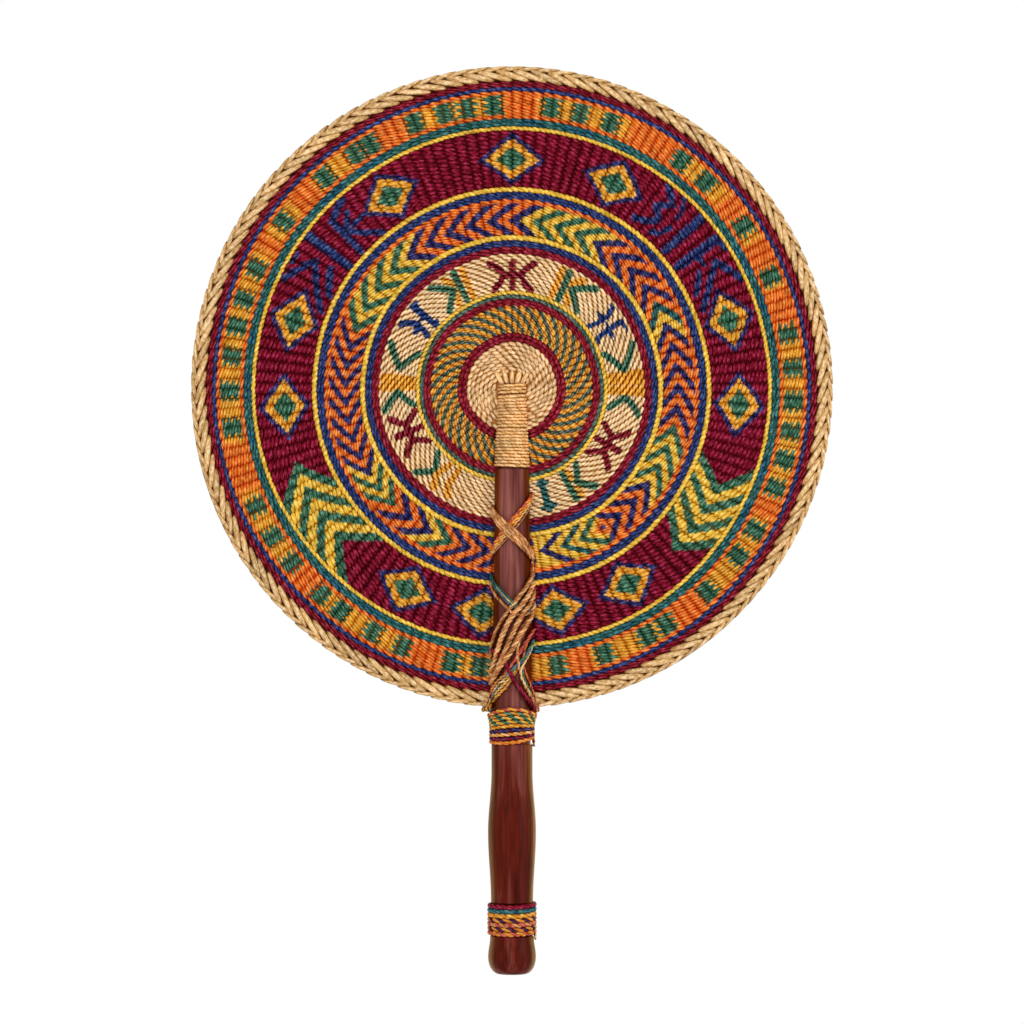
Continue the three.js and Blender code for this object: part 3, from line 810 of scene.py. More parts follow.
# Orange band
# Orange straw with small green blocks, in groups that are filled with yellow between them.
block_half_turn = 1.75
block_low = 0.15
block_high = 0.85
block_turns = (
    8, 14, 20.4, 36.7, 43.3, 55.3, 66.8, 79, 86, 92.9, 99, 104.8, 111, 120.4, 126.7, 136.3, 147, 151.6,
    160.8, 170.7, 186.6, 192.5, 203, 209.7, 217.6, 222.6, 231.6, 238, 245, 261.7, 269.4, 276.3, 282.5,
    288.2, 295, 306, 318.4, 326, 329.8, 339.8, 346.1, 350.8, 356.2,
)
yellow_groups = (
    (5.5, 24.5), (35, 48.5), (53.5, 59), (65, 69.5), (77, 113), (117.5, 138), (145, 163.4), (168.5, 176),
    (184, 194.2), (201.8, 224.4), (230, 248.6), (258.5, 298.7), (302, 310), (316, 324), (337.7, 358.3),
)
# Painted shade on the orange band's stitches: dark at their ends and sides, light on their tops.
orange_painted_shade = (1.1, 0.25, 0.2)


def orange_colour(degrees, share):
    """Blocks of green over stretches of gold, away from the band's orange edges."""
    colour = plain("orange")(degrees, share)
    inside = (share > block_low) & (share < block_high)
    for start, end in yellow_groups:
        colour[inside & (degrees > start) & (degrees < end)] = dyes["gold"]
    for turn in block_turns:
        colour[inside & (abs(degrees - turn) < block_half_turn)] = dyes["green"]
    return colour


orange_edge = weave_band(
    "orange_block_band", border_teal_edge, 9, 180, orange_colour, dyed_straw, "orange_straw",
    lean=18, tooth=0.4, pieces=2, relief=orange_painted_shade,
)

# Edge rings
# A thin ring of blue and two rings of red straw, which end the weave under the plait of the rim.
edge_blue_edge = plain_rings("edge_blue_band", orange_edge, 1, 232, "blue", "blue_straw", 16, 1.6)
edge_red_edge = plain_rings("edge_red_band", edge_blue_edge, 2, 174, "red", "red_straw", 13)

# Rim plait
# Natural straw plaited flat over the ends of the warps, in a herringbone whose points run against
# the clock. Its inner legs lie on the red ring, and its outer legs turn over the edge of the disc.
# The darker core brown is painted shade, for under the plait and the tip binding.
dyes.update(rim_natural=srgb(222, 180, 124), rim_core=srgb(150, 104, 62))
plait_points = 116
plait_leg = rounded_straw(8, 7, 2.6)
# Painted shade on the plait's legs: dark at their ends and sides, light on their tops.
plait_painted_shade = (1.55, 0.3, -0.05)
# The legs on the two sides of the ridge: length, width and thickness, lean in degrees, and place.
inner_leg_size = (18.4 * mm, 3 * mm, 1.7 * mm)
inner_leg_lean = -18
inner_leg_radius = 155.6 * mm
inner_leg_height = 1 * mm
inner_leg_rise = 0.45 * mm
outer_leg_size = (13.5 * mm, 2.45 * mm, 1.7 * mm)
outer_leg_lean = 11
outer_leg_radius = 159.1 * mm
outer_leg_height = 0.8 * mm
outer_leg_rise = 0.25 * mm
outer_leg_roll = 30
plait_press = disc_radius - 0.9 * mm
plait_spare = 0.8 * mm
plait_core_width = 0.98 * (disc_radius - edge_red_edge)
plait_core_middle = (edge_red_edge + disc_radius) / 2 - 0.6 * mm
plait_stray_share = 0.5
leg_place_spread = 0.03
leg_lean_spread = 0.8
leg_size_spread = 0.03
leg_tone_spread = 0.08
plait_random = np.random.default_rng(11)


def plait_legs(face, lean, size, radius, height, rise, roll):
    """The legs on one side of the plait's ridge, on one face of the rim. roll turns them over its edge,
    and whatever stands out past the edge is pressed flat on it."""
    count = plait_points
    turn = math.tau * (np.arange(count) + plait_random.normal(0, leg_place_spread, count)) / count
    slant = np.radians(lean + plait_random.normal(0, leg_lean_spread, count))[:, None]
    along = np.cos(slant) * clockwise(turn) + np.sin(slant) * outward(turn)
    away = math.cos(math.radians(roll)) * face + math.sin(math.radians(roll)) * outward(turn)
    away = away - along * np.sum(away * along, axis=1)[:, None]
    away /= np.linalg.norm(away, axis=1)[:, None]
    centre = on_disc(radius + plait_stray_share * wander(turn), turn) + face * height
    sizes = np.array(size)[:, None] * plait_random.normal(1, leg_size_spread, (3, count))
    dye = dyes["rim_natural"] * plait_random.normal(1, leg_tone_spread, (count, 1))
    seed = plait_random.uniform(0, 9, count)
    points, faces, colours, grain = lay_straws(
        plait_leg, centre, along, away, sizes, np.full(count, rise), dye, seed, plait_painted_shade
    )
    off_centre = points - disc_centre
    reach = np.hypot(off_centre[:, 0], off_centre[:, 2])
    over = np.maximum(0, reach - plait_press)
    pressed = (plait_press + plait_spare * (1 - np.exp(-over / plait_spare))) / reach
    off_centre[:, ::2] *= np.where(over > 0, pressed, 1)[:, None]
    return off_centre + disc_centre, faces, colours, grain


# The plait's core is painted a darker brown, as the shade between its legs.
plait = [row_core(plait_core_middle, plait_core_width, plain("rim_core"), 0)]
for face in (front, back):
    plait += [
        plait_legs(
            face, inner_leg_lean, inner_leg_size, inner_leg_radius, inner_leg_height, inner_leg_rise, 0,
        ),
        plait_legs(
            face, outer_leg_lean, outer_leg_size, outer_leg_radius, outer_leg_height, outer_leg_rise,
            outer_leg_roll,
        ),
    ]
make_piece("rim_plait_straw", plait, natural_straw, "natural_straw", "rim_braid")

# Handle
# One stick of dark reddish-brown wood, turned with a swell for the hand and a rounded butt, then
# varnished. It is sawn open from the tip to the rim, and holds the disc in the cut.
handle_low, handle_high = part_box("handle")
neck_low, neck_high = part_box("neck_binding")
butt_low, butt_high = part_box("butt_binding")
tip_radius = 5.2 * mm
tip_seat_end_radius = 7.2 * mm
shoulder_radius = 9 * mm
rim_stick_radius = 10.2 * mm
neck_seat_radius = 9.3 * mm
neck_stick_radius = 10.25 * mm
neck_stick_length = 12 * mm
grip_radius = 12 * mm
waist_radius = 10.5 * mm
butt_seat_radius = 9.5 * mm
flare_radius = 11.95 * mm
butt_neck_radius = 10.9 * mm
butt_round = 8.5 * mm
butt_flat_radius = 6.5 * mm
step = 0.8 * mm
slot_half_width = 2.4 * mm
stick_sides = 96
swell_steps = 12
round_steps = 7
slot_floor = rim_low.z - 0.3 * mm
stick_start = tip_low.z - 2 * mm
butt_rise = 1 * mm
smooth_angle = 38
# Wood tones, dark, middle and light. The front tones hold a painted reflection of a soft light, the edge ones
# a painted golden sheen.
upper_wood_and_reflection = ((88, 37, 31), (115, 59, 52), (147, 86, 77))
grip_wood_and_reflection = ((72, 12, 3), (98, 27, 13), (126, 64, 58))
side_wood = ((68, 16, 0), (94, 34, 5), (128, 62, 18))
edge_sheen_wood = ((118, 70, 16), (144, 98, 38), (166, 122, 62))


def swelling(start, end, start_radius, end_radius):
    """Heights and radii of a soft swell between two places on the stick."""
    for i in range(swell_steps + 1):
        share = i / swell_steps
        ease = (1 - math.cos(math.pi * share)) / 2
        yield start + (end - start) * share, start_radius + (end_radius - start_radius) * ease


stick_profile = [
    (
        handle_low.z + butt_round * (1 - math.cos(math.pi / 2 * i / round_steps)),
        butt_flat_radius + (flare_radius - butt_flat_radius) * math.sin(math.pi / 2 * i / round_steps),
    )
    for i in range(round_steps + 1)
]
stick_profile += [
    *list(swelling(handle_low.z + butt_round, butt_low.z + 0.3 * step, flare_radius, butt_neck_radius))[1:],
    (butt_low.z + step, butt_seat_radius),
    (butt_high.z + butt_rise - 2 * step, butt_seat_radius),
    *swelling(butt_high.z + butt_rise - step, 0, waist_radius, grip_radius),
    *list(swelling(0, neck_low.z - step - neck_stick_length, grip_radius, neck_stick_radius))[1:],
    (neck_low.z + 0.5 * step, neck_stick_radius),
    (neck_low.z + 1.5 * step, neck_seat_radius),
    (neck_high.z - 2 * step, neck_seat_radius),
    (neck_high.z - step, rim_stick_radius),
    (stick_start, shoulder_radius),
    (stick_start + 0.3 * step, shoulder_radius - 0.4 * step),
    (stick_start + 0.9 * mm, tip_seat_end_radius),
    (handle_high.z - step, tip_radius),
    (handle_high.z, tip_radius - step),
]

bpy.ops.object.select_all(action="DESELECT")
bpy.ops.mesh.primitive_circle_add(
    vertices=stick_sides, radius=stick_profile[0][1], fill_type="NGON", location=(0, 0, stick_profile[0][0])
)
stick = bpy.context.object
stick.name = "turned_stick"
bpy.ops.object.mode_set(mode="EDIT")
bpy.ops.mesh.select_all(action="SELECT")
for (before, narrow), (height, wide) in zip(stick_profile, stick_profile[1:]):
    bpy.ops.mesh.extrude_region_move(TRANSFORM_OT_translate={"value": (0, 0, height - before)})
    bpy.ops.transform.resize(value=(wide / narrow, wide / narrow, 1), center_override=(0, 0, height))
bpy.ops.mesh.select_all(action="SELECT")
bpy.ops.mesh.normals_make_consistent(inside=False)
bpy.ops.object.mode_set(mode="OBJECT")
bpy.ops.object.transform_apply(location=True, rotation=True, scale=True)

bpy.ops.object.select_all(action="DESELECT")
slot_height = handle_high.z - slot_floor + step
bpy.ops.mesh.primitive_cube_add(size=1, location=(0, 0, slot_floor + slot_height / 2))
saw_cut = bpy.context.object
saw_cut.scale = (4 * rim_stick_radius, 2 * slot_half_width, slot_height)
bpy.ops.object.transform_apply(location=True, rotation=True, scale=True)
bpy.ops.object.select_all(action="DESELECT")
stick.select_set(True)
bpy.context.view_layer.objects.active = stick
cut = stick.modifiers.new("saw cut", "BOOLEAN")
cut.operation = "DIFFERENCE"
cut.solver = "EXACT"
cut.object = saw_cut
bpy.ops.object.modifier_apply(modifier=cut.name)
bpy.data.objects.remove(saw_cut)
bpy.ops.object.shade_smooth_by_angle(angle=math.radians(smooth_angle))


def wood_grain(tree, place, stretch, detail, distortion=0):
    """Uneven streaks along the stick."""
    stretched = new_node(tree, "ShaderNodeMapping", {"Vector": place, "Scale": stretch}).outputs["Vector"]
    noise = {"Vector": stretched, "Scale": 1, "Detail": detail, "Distortion": distortion}
    return new_node(tree, "ShaderNodeTexNoise", noise).outputs["Fac"]


def wood_tones(tree, grain, dark, middle, light):
    """The colour of the wood by its grain, from the dark streaks to the light ones."""
    tones = new_node(tree, "ShaderNodeValToRGB", {"Fac": grain})
    ramp = tones.color_ramp
    for element, position, tone in zip(ramp.elements, (0.32, 0.68), (dark, light)):
        element.position = position
        element.color = (*srgb(*tone), 1)
    ramp.elements.new(0.5).color = (*srgb(*middle), 1)
    return tones.outputs["Color"]


def mixed(tree, share, first, second):
    """The first colour, turned into the second by a share."""
    inputs = {"Fac": share, "Color1": first, "Color2": second}
    return new_node(tree, "ShaderNodeMixRGB", inputs).outputs["Color"]


def varnished_wood():
    """Dark wood with a lengthwise grain under varnish. Its front and back are painted redder and lighter, as
    a painted reflection of a soft light, its two sides are a deep orange-brown, and the grip is darker than
    above. A painted golden sheen lies along the two sides of the grip and the butt, as the varnish's
    reflection."""
    material, tree = new_material("varnished_wood")
    place = new_node(tree, "ShaderNodeTexCoord").outputs["Object"]
    broad = wood_grain(tree, place, (130, 130, 12), 5, 0.9)
    fine = wood_grain(tree, place, (900, 900, 30), 2)
    upper_reflection_tones, grip_reflection_tones, side_tones, edge_sheen_tones = (
        wood_tones(tree, broad, *tones) for tones in (upper_wood_and_reflection, grip_wood_and_reflection, side_wood, edge_sheen_wood)
    )
    height = new_node(tree, "ShaderNodeSeparateXYZ", {"Vector": place}).outputs["Z"]
    upper = mapped(tree, height, neck_low.z - 0.02, neck_high.z + 0.01, 0, 1, "SMOOTHSTEP")
    level = new_node(tree, "ShaderNodeMapping", {"Vector": place, "Scale": (1, 1, 0)}).outputs["Vector"]
    bearing = new_node(tree, "ShaderNodeVectorMath", {0: level}, operation="NORMALIZE").outputs["Vector"]
    sideways = new_node(tree, "ShaderNodeSeparateXYZ", {"Vector": bearing}).outputs["X"]
    off_middle = new_node(tree, "ShaderNodeMath", {0: sideways}, operation="ABSOLUTE").outputs["Value"]
    # Painted reflection and sheen: the front and back take the lighter front tones, the sides the side tones,
    # and a golden sheen is painted along the edges of the grip and butt.
    side = mapped(tree, off_middle, 0.58, 0.74, 0, 1, "SMOOTHSTEP")
    painted_edge_sheen = mapped(tree, off_middle, 0.76, 0.93, 0, 1, "SMOOTHSTEP")
    front_reflection_tone = mixed(tree, upper, grip_reflection_tones, upper_reflection_tones)
    side_tone = mixed(tree, upper, mixed(tree, painted_edge_sheen, side_tones, edge_sheen_tones), side_tones)
    tone = mixed(tree, side, front_reflection_tone, side_tone)
    pores = mapped(tree, fine, 0.32, 0.62, 0.62, 1.1)
    relief = new_node(tree, "ShaderNodeBump", {"Strength": 0.15, "Distance": 0.1 * mm, "Height": fine})
    fill_inputs(tree, tree.nodes["Principled BSDF"], {
        "Specular IOR Level": 0.06,
        "Base Color": scaled(tree, tone, pores),
        "Roughness": mapped(tree, broad, 0, 1, 0.42, 0.26),
        "Normal": relief.outputs["Normal"],
    })
    return material


stick.data.materials.append(varnished_wood())
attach(stick, "root")
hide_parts("handle")

# Tip binding
# Natural straw thread wound round the split tip of the handle and through the hub, which closes the cut.
# Its turns lie in three groups, with a line between them, and slope more and more down to the right.
# A winding below them, painted a darker brown as shade, closes the lines.
twisted_thread = straw_material("twisted_thread", 0.04)
thread_sides = 6
thread_fibre_length = 4 * mm
thread_painted_shade = (0.18, 0.92)
tip_turns = 25
tip_thread = 0.78 * mm
tip_thread_swell = 1.08
tip_drop = 1.2 * mm
# After how many turns each line comes, and how wide it is.
tip_breaks = (2.8, 12.6)
tip_lines = (0.7 * mm, 0.35 * mm)
tip_slope = 1.4 * mm
tip_steps = 44
tip_plies = 3
tip_twist = 6 * mm
tip_clearance = 0.25 * mm
tip_unevenness = 0.03 * mm
tip_mottle = 0.14
tip_painted_light_right = 0.14
tip_ply_shade_soak = 0.24
tip_ply_painted_shade = 0.14
under_thread = 0.85 * mm
under_depth = 0.55 * mm


def strand(points, away, radius, dye, ply=0, plies=1, twist=8 * mm, ply_share=0.6):
    """One ply of a thread through points: a tube that turns about the thread's middle once in a twist.
    away points off the wood at each point. radius is one value or one for each point, and ply_share is
    a ply's thickness against the thread's."""
    steps = np.linalg.norm(np.diff(points, axis=0), axis=1)
    run = np.concatenate(([0], np.cumsum(steps)))
    along = np.gradient(points, axis=0)
    along /= np.linalg.norm(along, axis=1)[:, None]
    rise = away - along * np.sum(away * along, axis=1)[:, None]
    rise /= np.linalg.norm(rise, axis=1)[:, None]
    across = np.cross(along, rise)
    count = len(points)
    radius = np.broadcast_to(radius, count)
    if plies > 1:
        phase = math.tau * (ply / plies - run / twist)
        orbit = radius * (1 - ply_share)
        points = points + across * (orbit * np.cos(phase))[:, None] + rise * (orbit * np.sin(phase))[:, None]
        radius = radius * ply_share
    side = math.tau * np.arange(thread_sides) / thread_sides
    corners = (
        points[:, None]
        + across[:, None] * (radius[:, None] * np.cos(side))[..., None]
        + rise[:, None] * (radius[:, None] * np.sin(side))[..., None]
    )
    row = np.arange(count - 1)[:, None] * thread_sides
    low = row + np.arange(thread_sides)
    low_next = row + (np.arange(thread_sides) + 1) % thread_sides
    high, high_next = low + thread_sides, low_next + thread_sides
    halves = ((low, low_next, high_next), (low, high_next, high))
    faces = [np.stack(half, axis=-1).reshape(-1, 3) for half in halves]
    last = (count - 1) * thread_sides
    faces.append([(0, k + 1, k) for k in range(1, thread_sides - 1)])
    faces.append([(last, last + k, last + k + 1) for k in range(1, thread_sides - 1)])
    colours = np.ones((count, thread_sides, 4))
    colours[..., :3] = np.broadcast_to(dye, (count, 3))[:, None]
    # Painted shade: each ply is darker on its side towards the wood than on its side away from it.
    colours[..., 3] = np.clip(thread_painted_shade[0] + thread_painted_shade[1] * np.sin(side), 0, 1)
    grain = np.empty((count, thread_sides, 3))
    grain[..., 0] = (run / thread_fibre_length)[:, None]
    grain[..., 1] = side / math.tau + 0.25
    grain[..., 2] = ply * 2.7 + radius[0] / mm
    return corners.reshape(-1, 3), np.concatenate(faces), colours.reshape(-1, 4), grain.reshape(-1, 3)


def winding_path(turns, steps, height_at, radius_at, start):
    """Points of a winding round the stick, and the direction away from the wood at each."""
    turn = np.arange(round(turns * steps) + 1) / steps
    angle = start + math.tau * turn
    height = np.array([height_at(share) for share in turn])
    reach = np.array([radius_at(place) for place in height])
    away = np.stack((np.cos(angle), -np.sin(angle), 0 * angle), axis=-1)
    return away * reach[:, None] + np.stack((0 * angle, 0 * angle, height), axis=-1), away, turn


tip_length = tip_high.z - tip_low.z + tip_drop - 2 * tip_thread
tip_pitch = (tip_length - sum(tip_lines)) / tip_turns


def tip_height(turn, pitch=tip_pitch, lines=tip_lines):
    """The height of the winding after some turns: it sinks by its pitch, by the lines and by its slope."""
    passed = sum(line * min(1, max(0, (turn - after) * 2)) for after, line in zip(tip_breaks, lines))
    slope = tip_slope * turn / tip_turns * (1 + math.cos(math.tau * turn)) / 2
    return tip_high.z - tip_thread - pitch * turn - passed - slope


def under_height(turn):
    """The same for the darker winding, which has no lines."""
    return tip_height(turn, tip_length / tip_turns, ())


def tip_seat(height):
    """How far from the axis the middle of the thread lies."""
    share = (tip_high.z - height) / (tip_high.z - tip_low.z)
    return tip_radius + (tip_seat_end_radius - tip_radius) * share + tip_thread + tip_clearance


tip_points, tip_away, tip_run = winding_path(tip_turns, tip_steps, tip_height, tip_seat, 0)
tip_points += np.random.default_rng(5).normal(0, tip_unevenness, tip_points.shape)
tip_tone_and_light = 1 + tip_mottle * np.sin(tip_run * 9.7) * np.sin(tip_run * 2.3)
# Painted light: the winding is painted paler on its right side and darker on its left.
tip_tone_and_light = tip_tone_and_light + tip_painted_light_right * tip_away[:, 0]
tip_dye = dyes["tip_twine"] * tip_tone_and_light[:, None]
# Painted shade: each later ply is darker and deeper in tone, as the shade between the plies.
tip_strands = [
    strand(
        tip_points, tip_away, tip_thread * tip_thread_swell,
        tip_dye ** (1 + tip_ply_shade_soak * ply) * (1 - tip_ply_painted_shade * ply), ply, tip_plies, tip_twist,
    )
    for ply in range(tip_plies)
]
# The under winding is painted in the darker core brown, as the shade that shows through the lines.
under_points, under_away, _ = winding_path(tip_turns, tip_steps, under_height, tip_seat, 0)
under_points -= under_away * under_depth
tip_strands.append(strand(under_points, under_away, under_thread, dyes["rim_core"]))
make_piece("tip_binding_thread", tip_strands, twisted_thread, "natural_straw", "tip_binding")

# Lacing
# Bundles of coloured straw thread, drawn through the weave on one side of the stick, over it, and
# through again on the other, then back behind it. The last two go round the lower edge of the rim.
dyes.update(tan=srgb(190, 118, 64), tan_light=srgb(228, 164, 102), twine=srgb(240, 188, 126))
dyes.update(cream=srgb(244, 212, 140), brick=srgb(184, 74, 58), rose=srgb(196, 128, 104))
dyes["steel"] = srgb(64, 88, 110)
lacing_gap = 0.3 * mm
lacing_steps = 54
lacing_random = np.random.default_rng(8)
thread_tones = (0.84, 1.1)
thread_mottle = 0.14
thread_ply_painted_shade = 0.1
smoothed_places = 9
ride_reach = 4.5 * mm
stick_side = 0.97
weave_front = 1.75 * mm
rim_bend_steps = 6
taper_share = 0.3


def stick_radius(height):
    """The radius of the split part of the stick at a height."""
    share = min(1, max(0, (stick_start - height) / (stick_start - slot_floor)))
    return shoulder_radius + (rim_stick_radius - shoulder_radius) * share


def smoothed(values):
    """A list of values with its corners rounded off."""
    padded = np.pad(values, smoothed_places // 2, mode="edge")
    return np.convolve(padded, np.ones(smoothed_places) / smoothed_places, "valid")


def over_stick(course, thickness, lift, rides_at, to_rim=False):
    """A thread's way over the front of the stick, and the direction away from the wood at each point.
    course lists the places it passes, in millimetres right of the stick's axis and below the disc's
    centre. It is raised by lift where it rides over another thread, rides_at right of the axis.
    With to_rim it ends by going round the rim's lower edge, not through the weave."""
    places = np.array(course, dtype=float) * mm
    run = np.concatenate(([0], np.cumsum(np.linalg.norm(np.diff(places, axis=0), axis=1))))
    steps = np.linspace(0, run[-1], lacing_steps)
    x = smoothed(np.interp(steps, run, places[:, 0]))
    height = disc_centre[2] - smoothed(np.interp(steps, run, places[:, 1]))
    hump = lift * mm * np.exp(-(((x - rides_at * mm) / ride_reach) ** 2))
    seat = np.array([stick_radius(place) for place in height]) + lacing_gap + thickness
    inside = np.clip(x / seat, -stick_side, stick_side)
    facing = np.sqrt(1 - inside**2)
    lay = weave_front + lacing_gap + thickness
    y = -np.maximum(facing * seat, lay) - hump
    points = np.stack((x if to_rim else inside * seat, y, height), axis=-1)
    away = np.stack((inside, -facing, 0 * x), axis=-1)
    if to_rim:
        end_x = points[-1, 0]
        rim_z = disc_centre[2] - math.sqrt(disc_radius**2 - end_x**2)
        bend = np.radians(np.linspace(15, 90, rim_bend_steps))
        end = np.stack((end_x + 0 * bend, y[-1] * np.cos(bend), rim_z - 0.5 * lay * np.sin(bend)), axis=-1)
        end_away = np.stack((0 * bend, -np.cos(bend), -np.sin(bend)), axis=-1)
    else:
        end = points[-1:] * (1, 0, 1)
        end_away = away[-1:] * (1, 0, 1)
    points = np.concatenate((points[:1] * (1, 0, 1), points, end))
    return points, np.concatenate((away[:1] * (1, 0, 1), away, end_away))


def and_back(values, mirror=1):
    """Values along a half loop in front of the stick, joined to those of its mirror image behind it."""
    return np.concatenate((values, values[::-1][1:] * mirror))


def thread(
    course, dye_names, radius, twist, lift=0, rides_at=0, offset=0, pinch=1, end_radius=0, to_rim=False,
):
    """The plies of one thread that goes round the stick, its sizes in millimetres. offset moves it
    sideways in its bundle, and pinch is how much of that is left at the stick's sides. end_radius is
    its radius at its last place, if that differs."""
    points, away = over_stick(course, radius * mm, lift, rides_at, to_rim)
    share = np.linspace(0, 1, len(points))
    taper = ((end_radius or radius) - radius) * np.clip(share / taper_share - 1, 0, 1)
    thickness = (radius + taper) * mm
    if offset:
        across = np.cross(np.gradient(points, axis=0), away)
        across /= np.linalg.norm(across, axis=1)[:, None]
        spread = offset * mm * thickness / thickness.max() * (pinch + (1 - pinch) * np.sin(math.pi * share))
        points = points + across * spread[:, None]
    behind = (1, -1, 1)
    points = and_back(points, behind)
    away = and_back(away, behind)
    thickness = and_back(thickness)
    mottle = thread_mottle * np.sin(np.linspace(0, 40, len(points)) + offset * 9)
    tone = lacing_random.uniform(*thread_tones) * (1 + mottle)
    plies = []
    for ply, name in enumerate(dye_names):
        # Painted shade: each later ply is darker, as the shade between the plies.
        dye = dyes[name] * ((1 - thread_ply_painted_shade * ply) * tone)[:, None]
        plies.append(strand(points, away, thickness, dye, ply, len(dye_names), twist * mm))
    return plies


def lace(name, node, slot, *threads):
    """One bundle of threads as a piece."""
    make_piece(name, sum(threads, []), twisted_thread, slot, node)


upper_tan_course = ((10.8, 86), (9.6, 83.6), (6.5, 79), (2, 74.6), (-2.5, 70.8), (-7.5, 65.8), (-10.8, 60))
lace(
    "upper_tan_threads", "lacing_upper_tan", "tan_twine",
    thread(upper_tan_course, ("tan", "tan_light", "tan"), 0.95, 8, 1.7, 0, -2.1, 0.45),
    thread(upper_tan_course, ("tan_light", "tan", "tan_light"), 0.95, 7, 1.9, 0, -0.7, 0.45),
    thread(upper_tan_course, ("tan", "tan_light", "tan"), 0.95, 7.5, 1.9, 0, 0.7, 0.45),
    thread(upper_tan_course, ("tan_light", "tan", "tan"), 0.95, 8, 1.7, 0, 2.1, 0.45),
    thread(((10.9, 82), (10.5, 87), (10.9, 95)), ("tan", "tan_light"), 0.8, 5),
)
upper_orange_course = (
    (10.8, 53.6), (7.5, 59.8), (4, 64), (0.5, 68.4), (-3.5, 73.6), (-7, 77.8), (-10.8, 84),
)
lace(
    "upper_orange_threads", "lacing_upper_orange", "orange_straw",
    thread(upper_orange_course, ("orange", "brick"), 0.95, 5.4, offset=1.9, pinch=0.6),
    thread(upper_orange_course, ("gold", "orange"), 0.95, 5.4, offset=0.6, pinch=0.6),
    thread(upper_orange_course, ("tan_light", "gold"), 0.9, 5.4, offset=-0.7, pinch=0.6),
    thread(upper_orange_course, ("rose", "tan"), 0.5, 5, offset=-2.3, pinch=0.6),
)
teal_course = (
    (10.8, 110), (7.5, 111), (3.8, 110.6), (0.5, 108.3), (-3, 104.9), (-6, 101.6), (-9, 98.3), (-10.8, 94),
)
lace(
    "teal_threads", "lacing_teal_ribbon", "teal_straw",
    thread(teal_course, ("teal", "green"), 0.8, 14, 1.9, -3, 0.7, 0.8),
    thread(teal_course, ("steel", "teal"), 0.75, 14, 1.9, -3, -0.9, 0.8),
    thread(teal_course, ("cream", "tan_light"), 0.4, 8, 2.7, -3, -0.1, 0.8),
    thread(
        (
            (10.8, 112), (5, 114), (1, 113.4), (-1.6, 111), (-4, 108.4), (-7, 105.4), (-9.5, 102),
            (-10.8, 96.6),
        ),
        ("tan", "tan_light", "tan"), 0.9, 6, 0.6, -5,
    ),
)
lace(
    "middle_cords", "lacing_middle_cord", "tan_twine",
    thread(
        (
            (10.8, 92), (9, 97.4), (6, 101.4), (3, 105), (0.5, 108.4), (-2, 111.8), (-4.5, 115), (-7, 119.4),
            (-9, 124), (-10.4, 129.4), (-10.8, 135.5),
        ),
        ("tan", "tan_light", "tan"), 1.3, 8, 1, 6, end_radius=1,
    ),
    thread(
        (
            (10.8, 97), (9.5, 101.4), (7, 105.9), (4, 110), (0.5, 113), (-2, 117.4), (-4, 122), (-6, 127),
            (-7.5, 132.4), (-9, 138), (-10.8, 144),
        ),
        ("tan_light", "tan", "tan_light"), 1.55, 8, 0.6, 8,
    ),
    thread(
        ((10.8, 99), (8, 102.4), (6, 105.4), (4, 109), (1, 113.6), (-2, 119), (-6, 129), (-10.8, 140)),
        ("steel", "navy"), 0.9, 7, 0.5, 6,
    ),
)
lace(
    "lower_cords", "lacing_lower_cord", "tan_twine",
    thread(
        (
            (10.8, 101), (10.2, 107), (7.5, 110), (5, 113.4), (2.8, 117.6), (0.8, 121.6), (-0.8, 125.6),
            (-2.6, 130), (-5, 135), (-7.5, 140.6), (-10.8, 148),
        ),
        ("tan", "tan_light", "tan"), 1.5, 7.5, 0.9, 6,
    ),
    thread(
        (
            (10.8, 107), (10.3, 113), (8.5, 117), (6, 120.6), (3.5, 124.4), (1.5, 128), (-0.6, 132.4),
            (-3, 135.4), (-5.5, 138.6), (-8, 143), (-10.8, 149),
        ),
        ("tan_light", "tan", "tan"), 1.5, 7.5, 1.6, 4,
    ),
    thread(
        ((10.8, 99), (10.4, 104), (10.2, 112), (7.5, 116), (4, 121), (1, 126), (-3, 134), (-10.8, 150)),
        ("tan", "brick"), 0.75, 5, 0.3, 10,
    ),
)
lace(
    "left_rim_threads", "lacing_left_rim", "green_straw",
    thread(
        (
            (11.6, 120.4), (9, 123.9), (6.5, 127.9), (4, 131.9), (2, 135.4), (-0.5, 138.9), (-3, 142.4),
            (-6, 145.4), (-9, 149.4), (-11, 154), (-12.4, 159),
        ),
        ("brick", "brick"), 1.1, 9, 0.9, 5, end_radius=0.5, to_rim=True,
    ),
    thread(
        (
            (11, 126), (7.5, 133), (5, 136), (3, 138.2), (0.5, 140.4), (-2, 142.6), (-5, 146.4),
            (-9, 152.6), (-11.6, 159.4),
        ),
        ("green", "steel"), 1.1, 9, 0.5, 5, end_radius=0.6, to_rim=True,
    ),
    *(
        thread(
            (
                (11, 126), (7.5, 133), (5, 136), (3, 138.6), (1, 141.4), (-1.8, 144.6), (-4.6, 147.6),
                (-7.8, 151), (-10.2, 154.6), (-11.5, 157.6), (-11.8, 160),
            ),
            (one, other), 0.2, 5, 0.9, -3, offset, end_radius=1, to_rim=True,
        )
        for one, other, offset in (
            ("gold", "tan", -2.7), ("twine", "gold", -0.9), ("gold", "twine", 0.9), ("gold", "tan", 2.7),
        )
    ),
)
